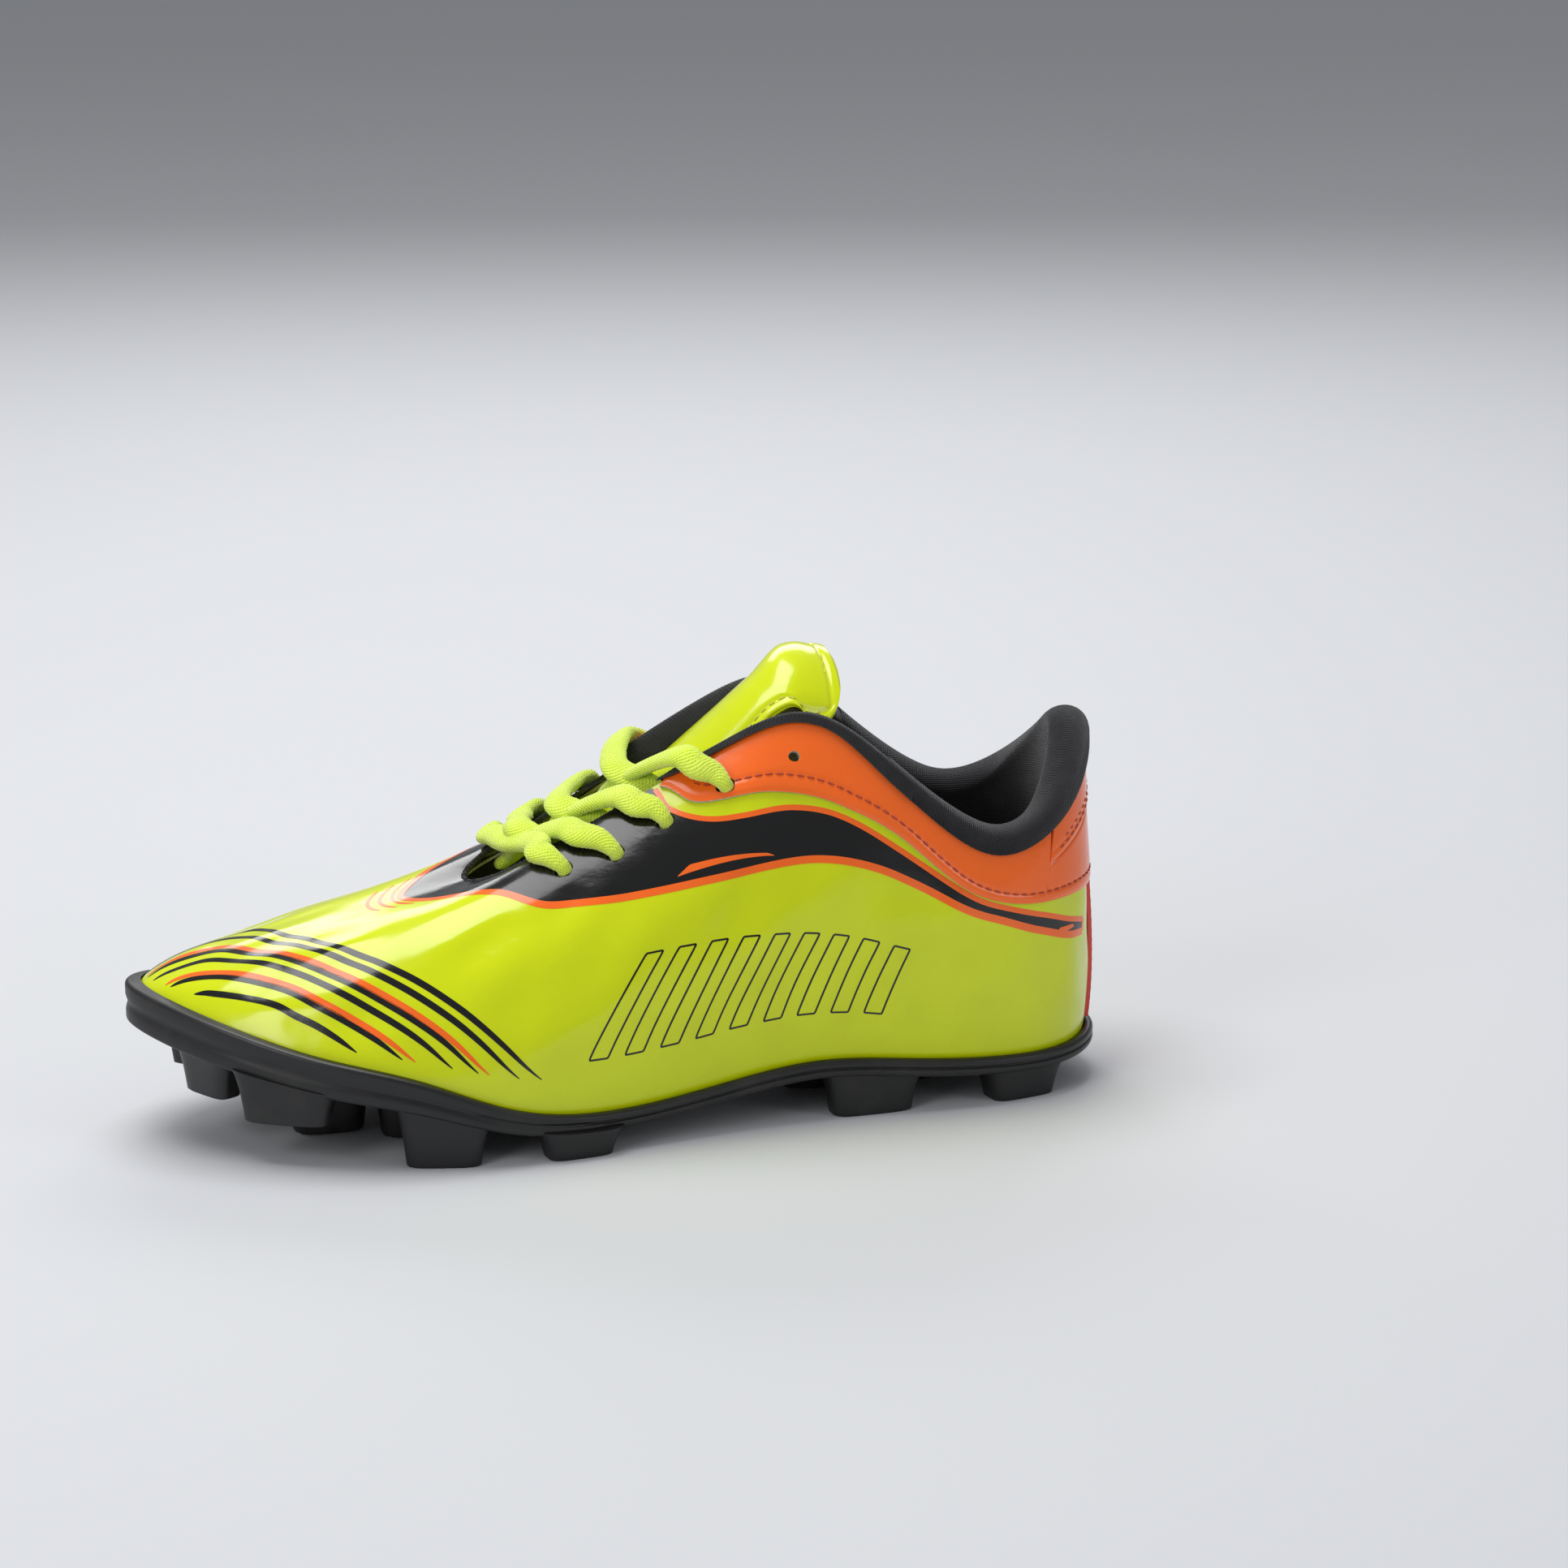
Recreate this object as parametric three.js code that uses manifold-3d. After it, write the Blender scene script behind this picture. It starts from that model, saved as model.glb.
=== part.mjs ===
// Soccer cleat, left shoe: moulded studded outsole, lasted upper, padded collar, tongue and lace.
// Millimetres, +Z up, toe at -X, heel at +X, outer (lateral) side at -Y. The studs stand on z = 0.
import * as THREE from 'three';
import { mergeVertices } from 'three/addons/utils/BufferGeometryUtils.js';
import Module from 'manifold-3d';

const wasm = await Module();
wasm.setup();

// ---------------------------------------------------------------- overall sizes
const SHOE_LENGTH = 285;      // toe lip to heel, over the outsole
const BALL_WIDTH = 96;        // widest place of the outsole
const CORNER_HEIGHT = 116;    // top corner of the eyestay above the ground
const PATTERN = { length: 285, width: 96, height: 116 }; // the size the last tables are drawn at

// ---------------------------------------------------------------- material thicknesses and gaps
const GAP = 0.5;              // clearance kept between neighbouring layers
const UPPER_SHEET = 1.2;
const PANEL_SHEET = 1.0;      // collar panels and heel tab, laid over the upper
const STIFFENER = 1.1;        // heel counter, toe puff, eyestay reinforcement
const LINING = 0.7;
const COLLAR_KNIT = 1.0;
const COLLAR_FOAM = 4.6;      // thickest place of the collar padding
const RIM_WALL = 3.1;         // outsole rim, from the upper's foot to the outline
const BOARD = 1.8;            // lasting board
const SOCK_LINER = 3.2;
const LASTING_MARGIN = 11;    // upper turned in under the board
const TONGUE_FACE = 1.1;
const TONGUE_FOAM = 3.4;
const TONGUE_LINING = 0.8;
const LACE_DIAMETER = 3.6;
const EYELET_DIAMETER = 5.6;
const AGLET_LENGTH = 20;
const AGLET_DIAMETER = 3.4;

// Depths below the upper's outer face where each layer starts.
const STIFFENER_DEPTH = UPPER_SHEET + GAP;
const LINING_DEPTH = STIFFENER_DEPTH + STIFFENER + GAP;
const LINING_BACK = LINING_DEPTH + LINING;

// ---------------------------------------------------------------- the last
// Stations run round the shoe: 0 is the centre of the heel, 12 the tip of the toe,
// 1 to 11 the lateral side and 13 to 23 the medial side. Each row gives
// foot of the upper [x, y], rim top, floor and underside heights,
// top edge of the upper [x, y, z], pull of the curve at the foot, pull at the top edge.
const LAST = [
  [[139.5, 0], [15, 12.6, 9.6], [137, 0, 105], [4, 0, 30], [-1, 0, -30]],
  [[130.5, -20.5], [14.6, 12.2, 9.4], [133, -13.5, 98], [3, -3, 28], [1, -2, -26]],
  [[110, -30.2], [14.6, 12, 9.4], [121, -25.5, 85], [2, -5, 24], [-1, -4, -20]],
  [[80.5, -32], [16.4, 13.8, 11], [102, -30.5, 79.5], [1, -6, 25], [-4, -6, -20]],
  [[50.5, -31.8], [18.3, 15.8, 13], [81, -29.5, 94], [2, -5, 28], [-6, -8, -25]],
  [[20.5, -35], [15, 12.4, 9.8], [63, -23.8, 110], [2, -5, 30], [-8, -13, -32]],
  [[-9.5, -41], [12.2, 9.8, 7.2], [46, -18.5, 116], [0, -4, 26], [-13, -18, -33]],
  [[-39.5, -46], [15.6, 12.4, 8.7], [27, -15, 108], [-2, -3, 22], [-18, -19, -29]],
  [[-67.5, -44.6], [26, 21, 16.5], [8, -13.5, 98.5], [-3, -1, 18], [-22, -18, -27]],
  [[-93.5, -36.8], [32.5, 27.5, 21.5], [-10, -12.8, 89], [-4, 0, 15], [-30, -17, -23]],
  [[-115.5, -23.8], [38.6, 33, 26.5], [-26, -12, 80.5], [-4, -1, 14], [-40, -13, -20]],
  [[-131, -8.5], [43, 37.5, 30.5], [-40, -7.5, 73], [-3, -1, 13], [-47, -5, -15]],
  [[-139.5, 8], [45, 39.5, 33], [-46, 1.5, 70.5], [-2, 0, 12], [-50, 2, -13]],
  [[-133, 23.5], [43, 37.5, 30.5], [-40, 10.5, 74], [-3, 1, 13], [-45, 8, -15]],
  [[-116.5, 34.5], [38.5, 33, 26.5], [-26, 14, 80.5], [-4, 1, 15], [-37, 14, -19]],
  [[-92.5, 41], [32, 27.5, 21.5], [-10, 15, 89.5], [-3, 1, 18], [-28, 17, -22]],
  [[-65.5, 43.8], [24.5, 20.5, 16], [8, 16, 100.5], [-2, 2, 22], [-19, 18, -27]],
  [[-37.5, 42.3], [15.5, 12.4, 8.7], [27, 17, 111], [0, 3, 26], [-15, 19, -31]],
  [[-7.5, 35.5], [13, 9.8, 7.2], [46, 19.5, 117.5], [2, 5, 32], [-11, 17, -35]],
  [[22.5, 28.2], [17, 13.5, 10.5], [63, 24.2, 111.5], [3, 6, 34], [-7, 12, -32]],
  [[52.5, 26.2], [20, 16.5, 13.5], [81, 28.8, 96], [3, 7, 30], [-5, 8, -26]],
  [[82.5, 28.4], [17, 14, 11], [102, 29.8, 82], [1, 6, 26], [-3, 6, -21]],
  [[110.5, 28.4], [14.6, 12, 9.4], [121, 25, 87], [2, 4, 24], [-1, 4, -20]],
  [[131, 19.8], [14.6, 12.2, 9.4], [133, 13.2, 99], [3, 3, 28], [1, 2, -26]],
];
const N = LAST.length;
const STEPS_PER_STATION = 2;
const STEP = 1 / STEPS_PER_STATION;
const V_STEPS = 10;

// Control values of a closed cubic B-spline that passes through the given values.
function splineControls(values) {
  let controls = values;
  for (let sweep = 0; sweep < 60; sweep += 1) {
    const last = controls;
    controls = values.map((v, i) => (6 * v - last[(i + N - 1) % N] - last[(i + 1) % N]) / 4);
  }
  return controls;
}

const stretch = [SHOE_LENGTH / PATTERN.length, BALL_WIDTH / PATTERN.width, CORNER_HEIGHT / PATTERN.height];
const columns = (part, count) => Array.from({ length: count }, (_, axis) =>
  splineControls(LAST.map((row) => row[part][axis] * stretch[part === 1 ? 2 : axis])));
const FOOT = columns(0, 2);
const LEVELS = columns(1, 3);
const TOP = columns(2, 3);
const FOOT_PULL = columns(3, 3);
const TOP_PULL = columns(4, 3);

// Value of a closed B-spline at station u.
function along(controls, u) {
  const w = ((u % N) + N) % N;
  const i = Math.floor(w);
  const t = w - i;
  const basis = [(1 - t) ** 3, 3 * t ** 3 - 6 * t ** 2 + 4, -3 * t ** 3 + 3 * t ** 2 + 3 * t + 1, t ** 3];
  return basis.reduce((sum, b, k) => sum + b * controls[(i + k + N - 1) % N], 0) / 6;
}

const rimTop = (u) => along(LEVELS[0], u);
const floorHeight = (u) => along(LEVELS[1], u);
const underside = (u) => along(LEVELS[2], u);
const footPlan = (u) => [along(FOOT[0], u), along(FOOT[1], u)];

// Point of the upper's outer face: a cubic Bezier curve from the foot (v = 0) to the top edge (v = 1).
function facePoint(u, v) {
  const foot = [...footPlan(u), floorHeight(u) + GAP];
  return new THREE.Vector3(...[0, 1, 2].map((axis) => {
    const p0 = foot[axis];
    const p3 = along(TOP[axis], u);
    const p1 = p0 + along(FOOT_PULL[axis], u);
    const p2 = p3 + along(TOP_PULL[axis], u);
    return (1 - v) ** 3 * p0 + 3 * v * (1 - v) ** 2 * p1 + 3 * v ** 2 * (1 - v) * p2 + v ** 3 * p3;
  }));
}

// Outward unit normal of the upper's outer face, from small differences.
function faceNormal(u, v) {
  const h = 0.02;
  const across = facePoint(u + h, v).sub(facePoint(u - h, v));
  const up = facePoint(u, Math.min(v + h, 1)).sub(facePoint(u, Math.max(v - h, 0)));
  return up.cross(across).normalize();
}

const layerPoint = (u, v, depth) => facePoint(u, v).addScaledVector(faceNormal(u, v), -depth);

// Share v where the layer at a depth reaches a height, found by halving.
function shareAtHeight(u, height, depth) {
  let low = 0;
  let high = 0.4;
  for (let i = 0; i < 20; i += 1) {
    const mid = (low + high) / 2;
    if (layerPoint(u, mid, depth).z < height) low = mid;
    else high = mid;
  }
  return low;
}

// Middle line of the sole, stopped short of both ends so that plates fan out round them.
const SPINE_ENDS = [1.2, 10.5];
function spinePoint(u) {
  const w = ((u % N) + N) % N;
  const side = Math.min(Math.max(Math.min(w, N - w), SPINE_ENDS[0]), SPINE_ENDS[1]);
  const a = footPlan(side);
  const b = footPlan(N - side);
  return new THREE.Vector2((a[0] + b[0]) / 2, (a[1] + b[1]) / 2);
}
function spineLevel(u, level) {
  const w = ((u % N) + N) % N;
  const side = Math.min(Math.max(Math.min(w, N - w), SPINE_ENDS[0]), SPINE_ENDS[1]);
  return (level(side) + level(N - side)) / 2;
}

// Height of the floor under a plan point between the foot at station u and the spine.
function floorUnder(u, p) {
  const foot = new THREE.Vector2(...footPlan(u));
  const share = p.distanceTo(foot) / spinePoint(u).distanceTo(foot);
  return THREE.MathUtils.lerp(floorHeight(u), spineLevel(u, floorHeight), share);
}

// Plan point at a distance inside (or, if negative, outside) the upper's foot.
function insetPlan(u, inset) {
  const h = 0.02;
  const p = new THREE.Vector2(...footPlan(u));
  const a = new THREE.Vector2(...footPlan(u - h));
  const b = new THREE.Vector2(...footPlan(u + h));
  const out = b.sub(a).normalize();
  return p.add(new THREE.Vector2(out.y, -out.x).multiplyScalar(inset));
}
// The same towards the spine, which stays in order round the toe and heel.
function towardSpine(u, inset) {
  const p = new THREE.Vector2(...footPlan(u));
  const s = spinePoint(u);
  return p.lerp(s, inset / p.distanceTo(s));
}

// ---------------------------------------------------------------- mesh making
const samples = (from, to) => {
  const count = Math.max(2, Math.round((to - from) * STEPS_PER_STATION));
  return Array.from({ length: count + 1 }, (_, i) => from + (to - from) * (i / count));
};

// Solid from rings of points: rings[i][j]. Closed both ways, or capped, or zipped along the spine.
function ringSolid(rings, { closedRound, zipped = false }) {
  const m = rings[0].length;
  const positions = rings.flat().flatMap((p) => [p.x, p.y, p.z]);
  const index = [];
  const quad = (a, b, c, d) => index.push(a, b, c, a, c, d);
  const rows = closedRound ? rings.length : rings.length - 1;
  const cells = zipped ? m - 1 : m;
  for (let i = 0; i < rows; i += 1) {
    const k = (i + 1) % rings.length;
    for (let j = 0; j < cells; j += 1) {
      const l = (j + 1) % m;
      quad(i * m + j, k * m + j, k * m + l, i * m + l);
    }
  }
  if (!closedRound) {
    const lastRing = (rings.length - 1) * m;
    for (let j = 0; j < m / 2 - 1; j += 1) {
      const o = m - 1 - j;
      quad(j, j + 1, o - 1, o);
      quad(lastRing + o, lastRing + o - 1, lastRing + j + 1, lastRing + j);
    }
  }
  return cleanGeometry(positions, index);
}

// Merged geometry without collapsed triangles, faces pointing out.
function cleanGeometry(positions, index) {
  let geometry = new THREE.BufferGeometry();
  geometry.setAttribute('position', new THREE.Float32BufferAttribute(positions, 3));
  geometry.setIndex(index);
  geometry = mergeVertices(geometry, 2e-3);
  const old = geometry.index.array;
  const kept = [];
  for (let i = 0; i < old.length; i += 3) {
    const [a, b, c] = [old[i], old[i + 1], old[i + 2]];
    if (a !== b && b !== c && a !== c) kept.push(a, b, c);
  }
  if (signedVolume(geometry.attributes.position, kept) < 0) {
    for (let i = 0; i < kept.length; i += 3) [kept[i], kept[i + 1]] = [kept[i + 1], kept[i]];
  }
  geometry.setIndex(kept);
  return geometry;
}

function signedVolume(position, index) {
  const [a, b, c] = [new THREE.Vector3(), new THREE.Vector3(), new THREE.Vector3()];
  let volume = 0;
  for (let i = 0; i < index.length; i += 3) {
    a.fromBufferAttribute(position, index[i]);
    b.fromBufferAttribute(position, index[i + 1]);
    c.fromBufferAttribute(position, index[i + 2]);
    volume += a.dot(b.cross(c)) / 6;
  }
  return volume;
}

// Plain three.js solid with only merged positions left.
function plain(geometry) {
  const bare = geometry.index ? geometry.toNonIndexed() : geometry.clone();
  return cleanGeometry(Array.from(bare.attributes.position.array),
    Array.from({ length: bare.attributes.position.count }, (_, i) => i));
}

function toManifold(geometry) {
  return new wasm.Manifold(new wasm.Mesh({
    numProp: 3,
    vertProperties: new Float32Array(geometry.attributes.position.array),
    triVerts: new Uint32Array(geometry.index.array),
  }));
}
function fromManifold(solid) {
  const mesh = solid.getMesh();
  return cleanGeometry(Array.from(mesh.vertProperties), Array.from(mesh.triVerts));
}
const cutAll = (geometry, tools) =>
  fromManifold(tools.reduce((solid, tool) => solid.subtract(toManifold(tool)), toManifold(geometry)));

// Sheet between two depths, over u stations [from, to] and v limits given as functions of u.
function sheet({ from, to, low, high, near, far }) {
  const round = to - from >= N;
  const stations = samples(from, to);
  if (round) stations.pop();
  const depthAt = (d, u, v) => (typeof d === 'function' ? d(u, v) : d);
  const tallest = Math.max(...stations.map((u) => high(u) - low(u)));
  const cells = Math.ceil(tallest * V_STEPS);
  const rings = stations.map((u) => {
    const cuts = Array.from({ length: cells + 1 }, (_, k) => low(u) + ((high(u) - low(u)) * k) / cells);
    const outer = cuts.map((v) => layerPoint(u, v, depthAt(near, u, v)));
    const inner = cuts.map((v) => layerPoint(u, v, depthAt(far, u, v))).reverse();
    return [...outer, ...inner];
  });
  return ringSolid(rings, { closedRound: round });
}

// ---------------------------------------------------------------- outsole
// Studs: middle [x, y] at the ground, length, width, turn in degrees, ground height, root swell.
const STUD_SWELL = 3.4;
const STUDS = {
  toe_lateral: [-121, -9, 17, 8, -58, 16],
  toe_medial: [-121, 24, 17, 8, 50, 16],
  front_lateral: [-103, -29, 24, 9, -28, 12.5],
  front_medial: [-101, 33, 22, 9, 24, 12.5],
  front_centre: [-88, -4, 20, 13, 0, 1],
  ball_lateral: [-61, -40, 21, 10, -12, 0],
  ball_medial: [-60, 37, 21, 10, 10, 0],
  ball_bar: [-57, -14, 34, 12, 0, 1],
  rear_ball_lateral: [-23, -42, 19, 10, 8, 0],
  rear_ball_medial: [-22, 36, 19, 10, -12, 0],
  heel_bar: [72, -2, 50, 12, 0, 1],
  heel_front_lateral: [67, -27, 24, 10, 3, 0],
  heel_front_medial: [67, 24, 24, 10, -3, 0],
  heel_rear_lateral: [113, -24, 20, 11, 14, 0],
  heel_rear_medial: [113, 22, 20, 11, -14, 0],
};
const STUD_ROOT = 1.2; // how far a stud runs into the plate

// Height of the plate's underside over a place along the shoe, found by halving along the lateral side.
function undersideAt(x) {
  let [heel, toe] = SPINE_ENDS;
  for (let i = 0; i < 24; i += 1) {
    const mid = (heel + toe) / 2;
    if (spinePoint(mid).x > x) heel = mid;
    else toe = mid;
  }
  return spineLevel(heel, underside);
}

// Tapered blade with chamfered corners, wider at its root than at the ground.
function studGeometry([px, py, length, width, turn, ground]) {
  const x = px * stretch[0];
  const y = py * stretch[1];
  const outline = (grow) => {
    const [a, b] = [length / 2 + grow, width / 2 + grow * 0.6];
    const c = 0.22 * width;
    return [[a, b - c], [a - c, b], [c - a, b], [-a, b - c], [-a, c - b], [c - a, -b], [a - c, -b], [a, c - b]];
  };
  const cos = Math.cos(THREE.MathUtils.degToRad(turn));
  const sin = Math.sin(THREE.MathUtils.degToRad(turn));
  const ringAt = (grow, height) => outline(grow).map(([p, q]) => {
    const at = x + p * cos - q * sin;
    return new THREE.Vector3(at, y + p * sin + q * cos, height(at));
  });
  const low = ringAt(0, () => ground);
  const high = ringAt(STUD_SWELL, (at) => undersideAt(at) + STUD_ROOT);
  const count = low.length;
  const positions = [...low, ...high].flatMap((p) => [p.x, p.y, p.z]);
  const index = [];
  for (let i = 0; i < count; i += 1) {
    const k = (i + 1) % count;
    index.push(i, k, count + k, i, count + k, count + i);
    if (i > 0 && i < count - 1) index.push(0, k, i, count, count + i, count + k);
  }
  return cleanGeometry(positions, index);
}

// Plate and rim: the section runs from the middle of the underside, out and up the rim,
// down inside it along the upper, and back over the floor to the middle.
function outsoleGeometry() {
  const rings = samples(0, N).slice(0, -1).map((u) => {
    const spine = spinePoint(u);
    const bottom = underside(u);
    const top = rimTop(u);
    const floor = floorHeight(u);
    const at = (inset, z) => {
      const p = insetPlan(u, inset);
      return new THREE.Vector3(p.x, p.y, z);
    };
    const inward = (inset, z) => {
      const p = towardSpine(u, inset);
      return new THREE.Vector3(p.x, p.y, z);
    };
    const reach = new THREE.Vector2(...footPlan(u)).distanceTo(spine);
    const rimShare = shareAtHeight(u, top, -GAP);
    const wall = [1, 0.5, 0].map((s) => layerPoint(u, rimShare * s, -GAP));
    wall[0].z = top;
    wall[2].z = floor;
    return [
      new THREE.Vector3(spine.x, spine.y, spineLevel(u, underside) - 0.4),
      inward(reach * 0.45, bottom - 0.3),
      at(2.2 - RIM_WALL, bottom - 0.1),
      at(0.6 - RIM_WALL, bottom + 0.5),
      at(-RIM_WALL, bottom + 1.6),
      at(-RIM_WALL, top - 1.1),
      at(0.7 - RIM_WALL, top),
      ...wall,
      inward(reach * 0.45, THREE.MathUtils.lerp(floor, spineLevel(u, floorHeight), 0.45)),
      new THREE.Vector3(spine.x, spine.y, spineLevel(u, floorHeight)),
    ];
  });
  const plate = ringSolid(rings, { closedRound: true, zipped: true });
  return fromManifold(Object.values(STUDS).reduce(
    (solid, stud) => solid.add(toManifold(studGeometry(stud))), toManifold(plate)));
}

// Flat layer inside the shoe, following the floor and staying inside the layers down to a depth.
function insoleLayer(depth, bottom, thickness) {
  const rings = samples(0, N).slice(0, -1).map((u) => {
    const spine = spinePoint(u);
    const floor = floorHeight(u);
    const edges = [bottom, bottom + thickness].map((rise) => {
      const p = layerPoint(u, shareAtHeight(u, floor + rise, depth), depth);
      return new THREE.Vector2(p.x, p.y);
    });
    const edge = edges.reduce((a, b) => (a.distanceTo(spine) < b.distanceTo(spine) ? a : b));
    const half = edge.clone().lerp(spine, 0.45);
    const at = (p, rise) => new THREE.Vector3(p.x, p.y, floorUnder(u, p) + rise);
    return [
      ...[spine, half, edge].map((p) => at(p, bottom)),
      ...[edge, half, spine].map((p) => at(p, bottom + thickness)),
    ];
  });
  return ringSolid(rings, { closedRound: true, zipped: true });
}
const BOARD_BOTTOM = 2 * GAP + UPPER_SHEET; // heights above the floor, over the turned-in upper
const SOCK_BOTTOM = BOARD_BOTTOM + BOARD + GAP;
const SOCK_DEPTH = LINING_BACK + COLLAR_KNIT + 3 * GAP;
const LAYERS_START = BOARD_BOTTOM + BOARD + GAP; // height of the linings' foot above the floor
const layerFoot = (u, depth) => shareAtHeight(u, floorHeight(u) + LAYERS_START, depth);

// ---------------------------------------------------------------- upper
const EYELET_ROWS = [10.05, 9.2, 8.15, 7.2, 6.05];    // lateral stations, first row at the toe end
const MEDIAL_SHIFT = 0.5;                             // stations the medial rows lie further forward
const EYELET_INSET = 10.6;                            // from the throat edge to the hole's middle
const PANEL_FRONT = 7.75;                             // station where a collar panel meets the throat

// Lower edge of a collar panel as a share of height, at stations 0, 1, 2... from the heel's centre:
// low round the heel, rising to the ankle, then sweeping up to the throat in front.
const PANEL_EDGE = [0.5, 0.545, 0.63, 0.75, 0.825, 0.825, 0.825, 0.855, 0.985, 1];
function panelLow(u) {
  const side = Math.min(u, N - u);
  const i = Math.min(Math.floor(side), PANEL_EDGE.length - 2);
  const between = THREE.MathUtils.smoothstep(side - i, 0, 1) * 0.4 + (side - i) * 0.6;
  return THREE.MathUtils.lerp(PANEL_EDGE[i], PANEL_EDGE[i + 1], Math.min(between, 1));
}

// Share v at a surface distance below the top edge.
function shareBelowTop(u, distance) {
  const slope = facePoint(u, 1).distanceTo(facePoint(u, 0.99)) / 0.01;
  return 1 - distance / slope;
}

// Station and share of a place at a distance from the throat edge, straight in from it at station u.
function inFromEdge(u, distance) {
  const h = 0.01;
  const edgeway = facePoint(u + h, 1).sub(facePoint(u - h, 1)).divideScalar(2 * h);
  const up = facePoint(u, 1).sub(facePoint(u, 1 - 2 * h)).divideScalar(2 * h);
  const slant = -edgeway.dot(up) / edgeway.lengthSq();
  const step = -distance / up.addScaledVector(edgeway, slant).length();
  return [u + slant * step, 1 + step];
}

// Station of an eyelet row; side is 1 on the lateral side and -1 on the medial side.
const rowStation = (side, row) => (side > 0 ? EYELET_ROWS[row] : N - EYELET_ROWS[row] - MEDIAL_SHIFT);

// Pins that punch the eyelets through every layer at one side.
function eyeletPins(lateral) {
  return EYELET_ROWS.map((_, row) => {
    const [u, v] = inFromEdge(rowStation(lateral ? 1 : -1, row), EYELET_INSET);
    const pin = new THREE.CylinderGeometry(EYELET_DIAMETER / 2, EYELET_DIAMETER / 2, 16, 12);
    pin.applyQuaternion(new THREE.Quaternion().setFromUnitVectors(new THREE.Vector3(0, 1, 0), faceNormal(u, v)));
    pin.translate(...facePoint(u, v));
    return plain(pin);
  });
}

// Upper with its lasting margin turned in under the board.
function upperGeometry() {
  const rings = samples(0, N).slice(0, -1).map((u) => {
    const top = upperTop(u);
    const cuts = Array.from({ length: V_STEPS + 1 }, (_, k) => Math.min(k / V_STEPS, top - (V_STEPS - k) / 4000));
    const outer = cuts.map((v) => layerPoint(u, v, 0));
    const inner = cuts.slice(1).map((v) => layerPoint(u, v, UPPER_SHEET)).reverse();
    const margin = (inset, rise) => {
      const p = towardSpine(u, inset);
      return new THREE.Vector3(p.x, p.y, floorUnder(u, p) + rise);
    };
    return [
      margin(LASTING_MARGIN, GAP), ...outer, ...inner,
      margin(UPPER_SHEET, GAP + UPPER_SHEET), margin(LASTING_MARGIN, GAP + UPPER_SHEET),
    ];
  });
  const body = ringSolid(rings, { closedRound: true });
  return cutAll(body, [...eyeletPins(true), ...eyeletPins(false)]);
}
// The upper stops under the collar panels, and runs to the edge round the throat.
const PANEL_UNDERLAY = 0.1;
function upperTop(u) {
  const side = Math.min(u, N - u);
  return side > PANEL_FRONT ? 1 : Math.min(1, panelLow(u) + PANEL_UNDERLAY + 0.2 * (side / PANEL_FRONT) ** 8);
}

// ---------------------------------------------------------------- collar
const TAB_HALF = 2;          // heel tab reaches this many stations each side
const TAB_LOW = 0.79;        // its lower edge
const STRIP_HALF = 0.3;       // back strip, in stations each side of the heel's centre
const STRIP_SHEET = 0.8;
const STRIP_RISE = 1.2;      // its clearance above the rim and below the heel tab
const COLLAR_END = 4.5;      // padded collar reaches this many stations each side
const signed = (u) => (u > N / 2 ? u - N : u);

function foamThickness(u, v) {
  const side = Math.abs(signed(u));
  const fade = 1 - THREE.MathUtils.smoothstep(side, 3.2, COLLAR_END + 0.4);
  return COLLAR_FOAM * fade * THREE.MathUtils.smoothstep(v, 0.4, 0.85);
}

function collarPanel(lateral) {
  const mapped = (u) => (lateral ? u : N - u);
  const reach = (u) => (mapped(u) <= TAB_HALF + 0.01 ? TAB_LOW - 0.012 : 1);
  const span = [STEP, lateral ? BINDING_END : BINDING_END + STEP];
  const [from, to] = lateral ? span : [N - span[1], N - span[0]];
  const body = sheet({
    from, to, low: panelLow, high: reach, near: -GAP - PANEL_SHEET, far: -GAP,
  });
  return cutAll(body, eyeletPins(lateral));
}

// Point beside the top edge: rise along the sheet, out along its normal.
function edgePoint(u, rise, out) {
  const tip = facePoint(u, 1);
  const up = tip.clone().sub(facePoint(u, 0.97)).normalize();
  return tip.addScaledVector(up, rise).addScaledVector(faceNormal(u, 1), out);
}

// Knit collar lining: up the inside of the padding, rolled over the top edge and down outside.
const ROLL_DROP = 4;         // how far the roll comes down outside
const ROLL_RISE = 3;
function collarLining() {
  const outside = GAP * 2 + PANEL_SHEET;
  const rings = samples(-COLLAR_END, COLLAR_END).map((u) => {
    const depth = (v) => STIFFENER_DEPTH + STIFFENER + GAP + foamThickness(u, v) + GAP;
    const low = layerFoot(u, LINING_BACK + COLLAR_KNIT);
    const shares = [0, 0.17, 0.33, 0.5, 0.62, 0.74, 0.86, 0.98].map((share) => low + (0.985 - low) * share);
    const half = (depth(1) + outside) / 2;
    const middle = (outside - depth(1)) / 2;
    const arc = (extra) => [0.15, 0.35, 0.5, 0.65, 0.85].map((s) => edgePoint(
      u, GAP + (ROLL_RISE + extra) * Math.sin(Math.PI * s), middle - (half + extra) * Math.cos(Math.PI * s)));
    const skin = shares.map((v) => layerPoint(u, v, depth(v) + COLLAR_KNIT));
    const back = shares.map((v) => layerPoint(u, v, depth(v)));
    return [
      ...skin, ...arc(COLLAR_KNIT), edgePoint(u, -ROLL_DROP, outside + COLLAR_KNIT),
      edgePoint(u, -ROLL_DROP, outside), ...arc(0).reverse(), ...back.reverse(),
    ];
  });
  return ringSolid(rings, { closedRound: false });
}

function collarFoam() {
  const start = STIFFENER_DEPTH + STIFFENER + GAP;
  return sheet({
    from: -COLLAR_END + 1, to: COLLAR_END - 1, low: () => 0.52, high: () => 0.985,
    near: start, far: (u, v) => start + foamThickness(u, v),
  });
}

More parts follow.
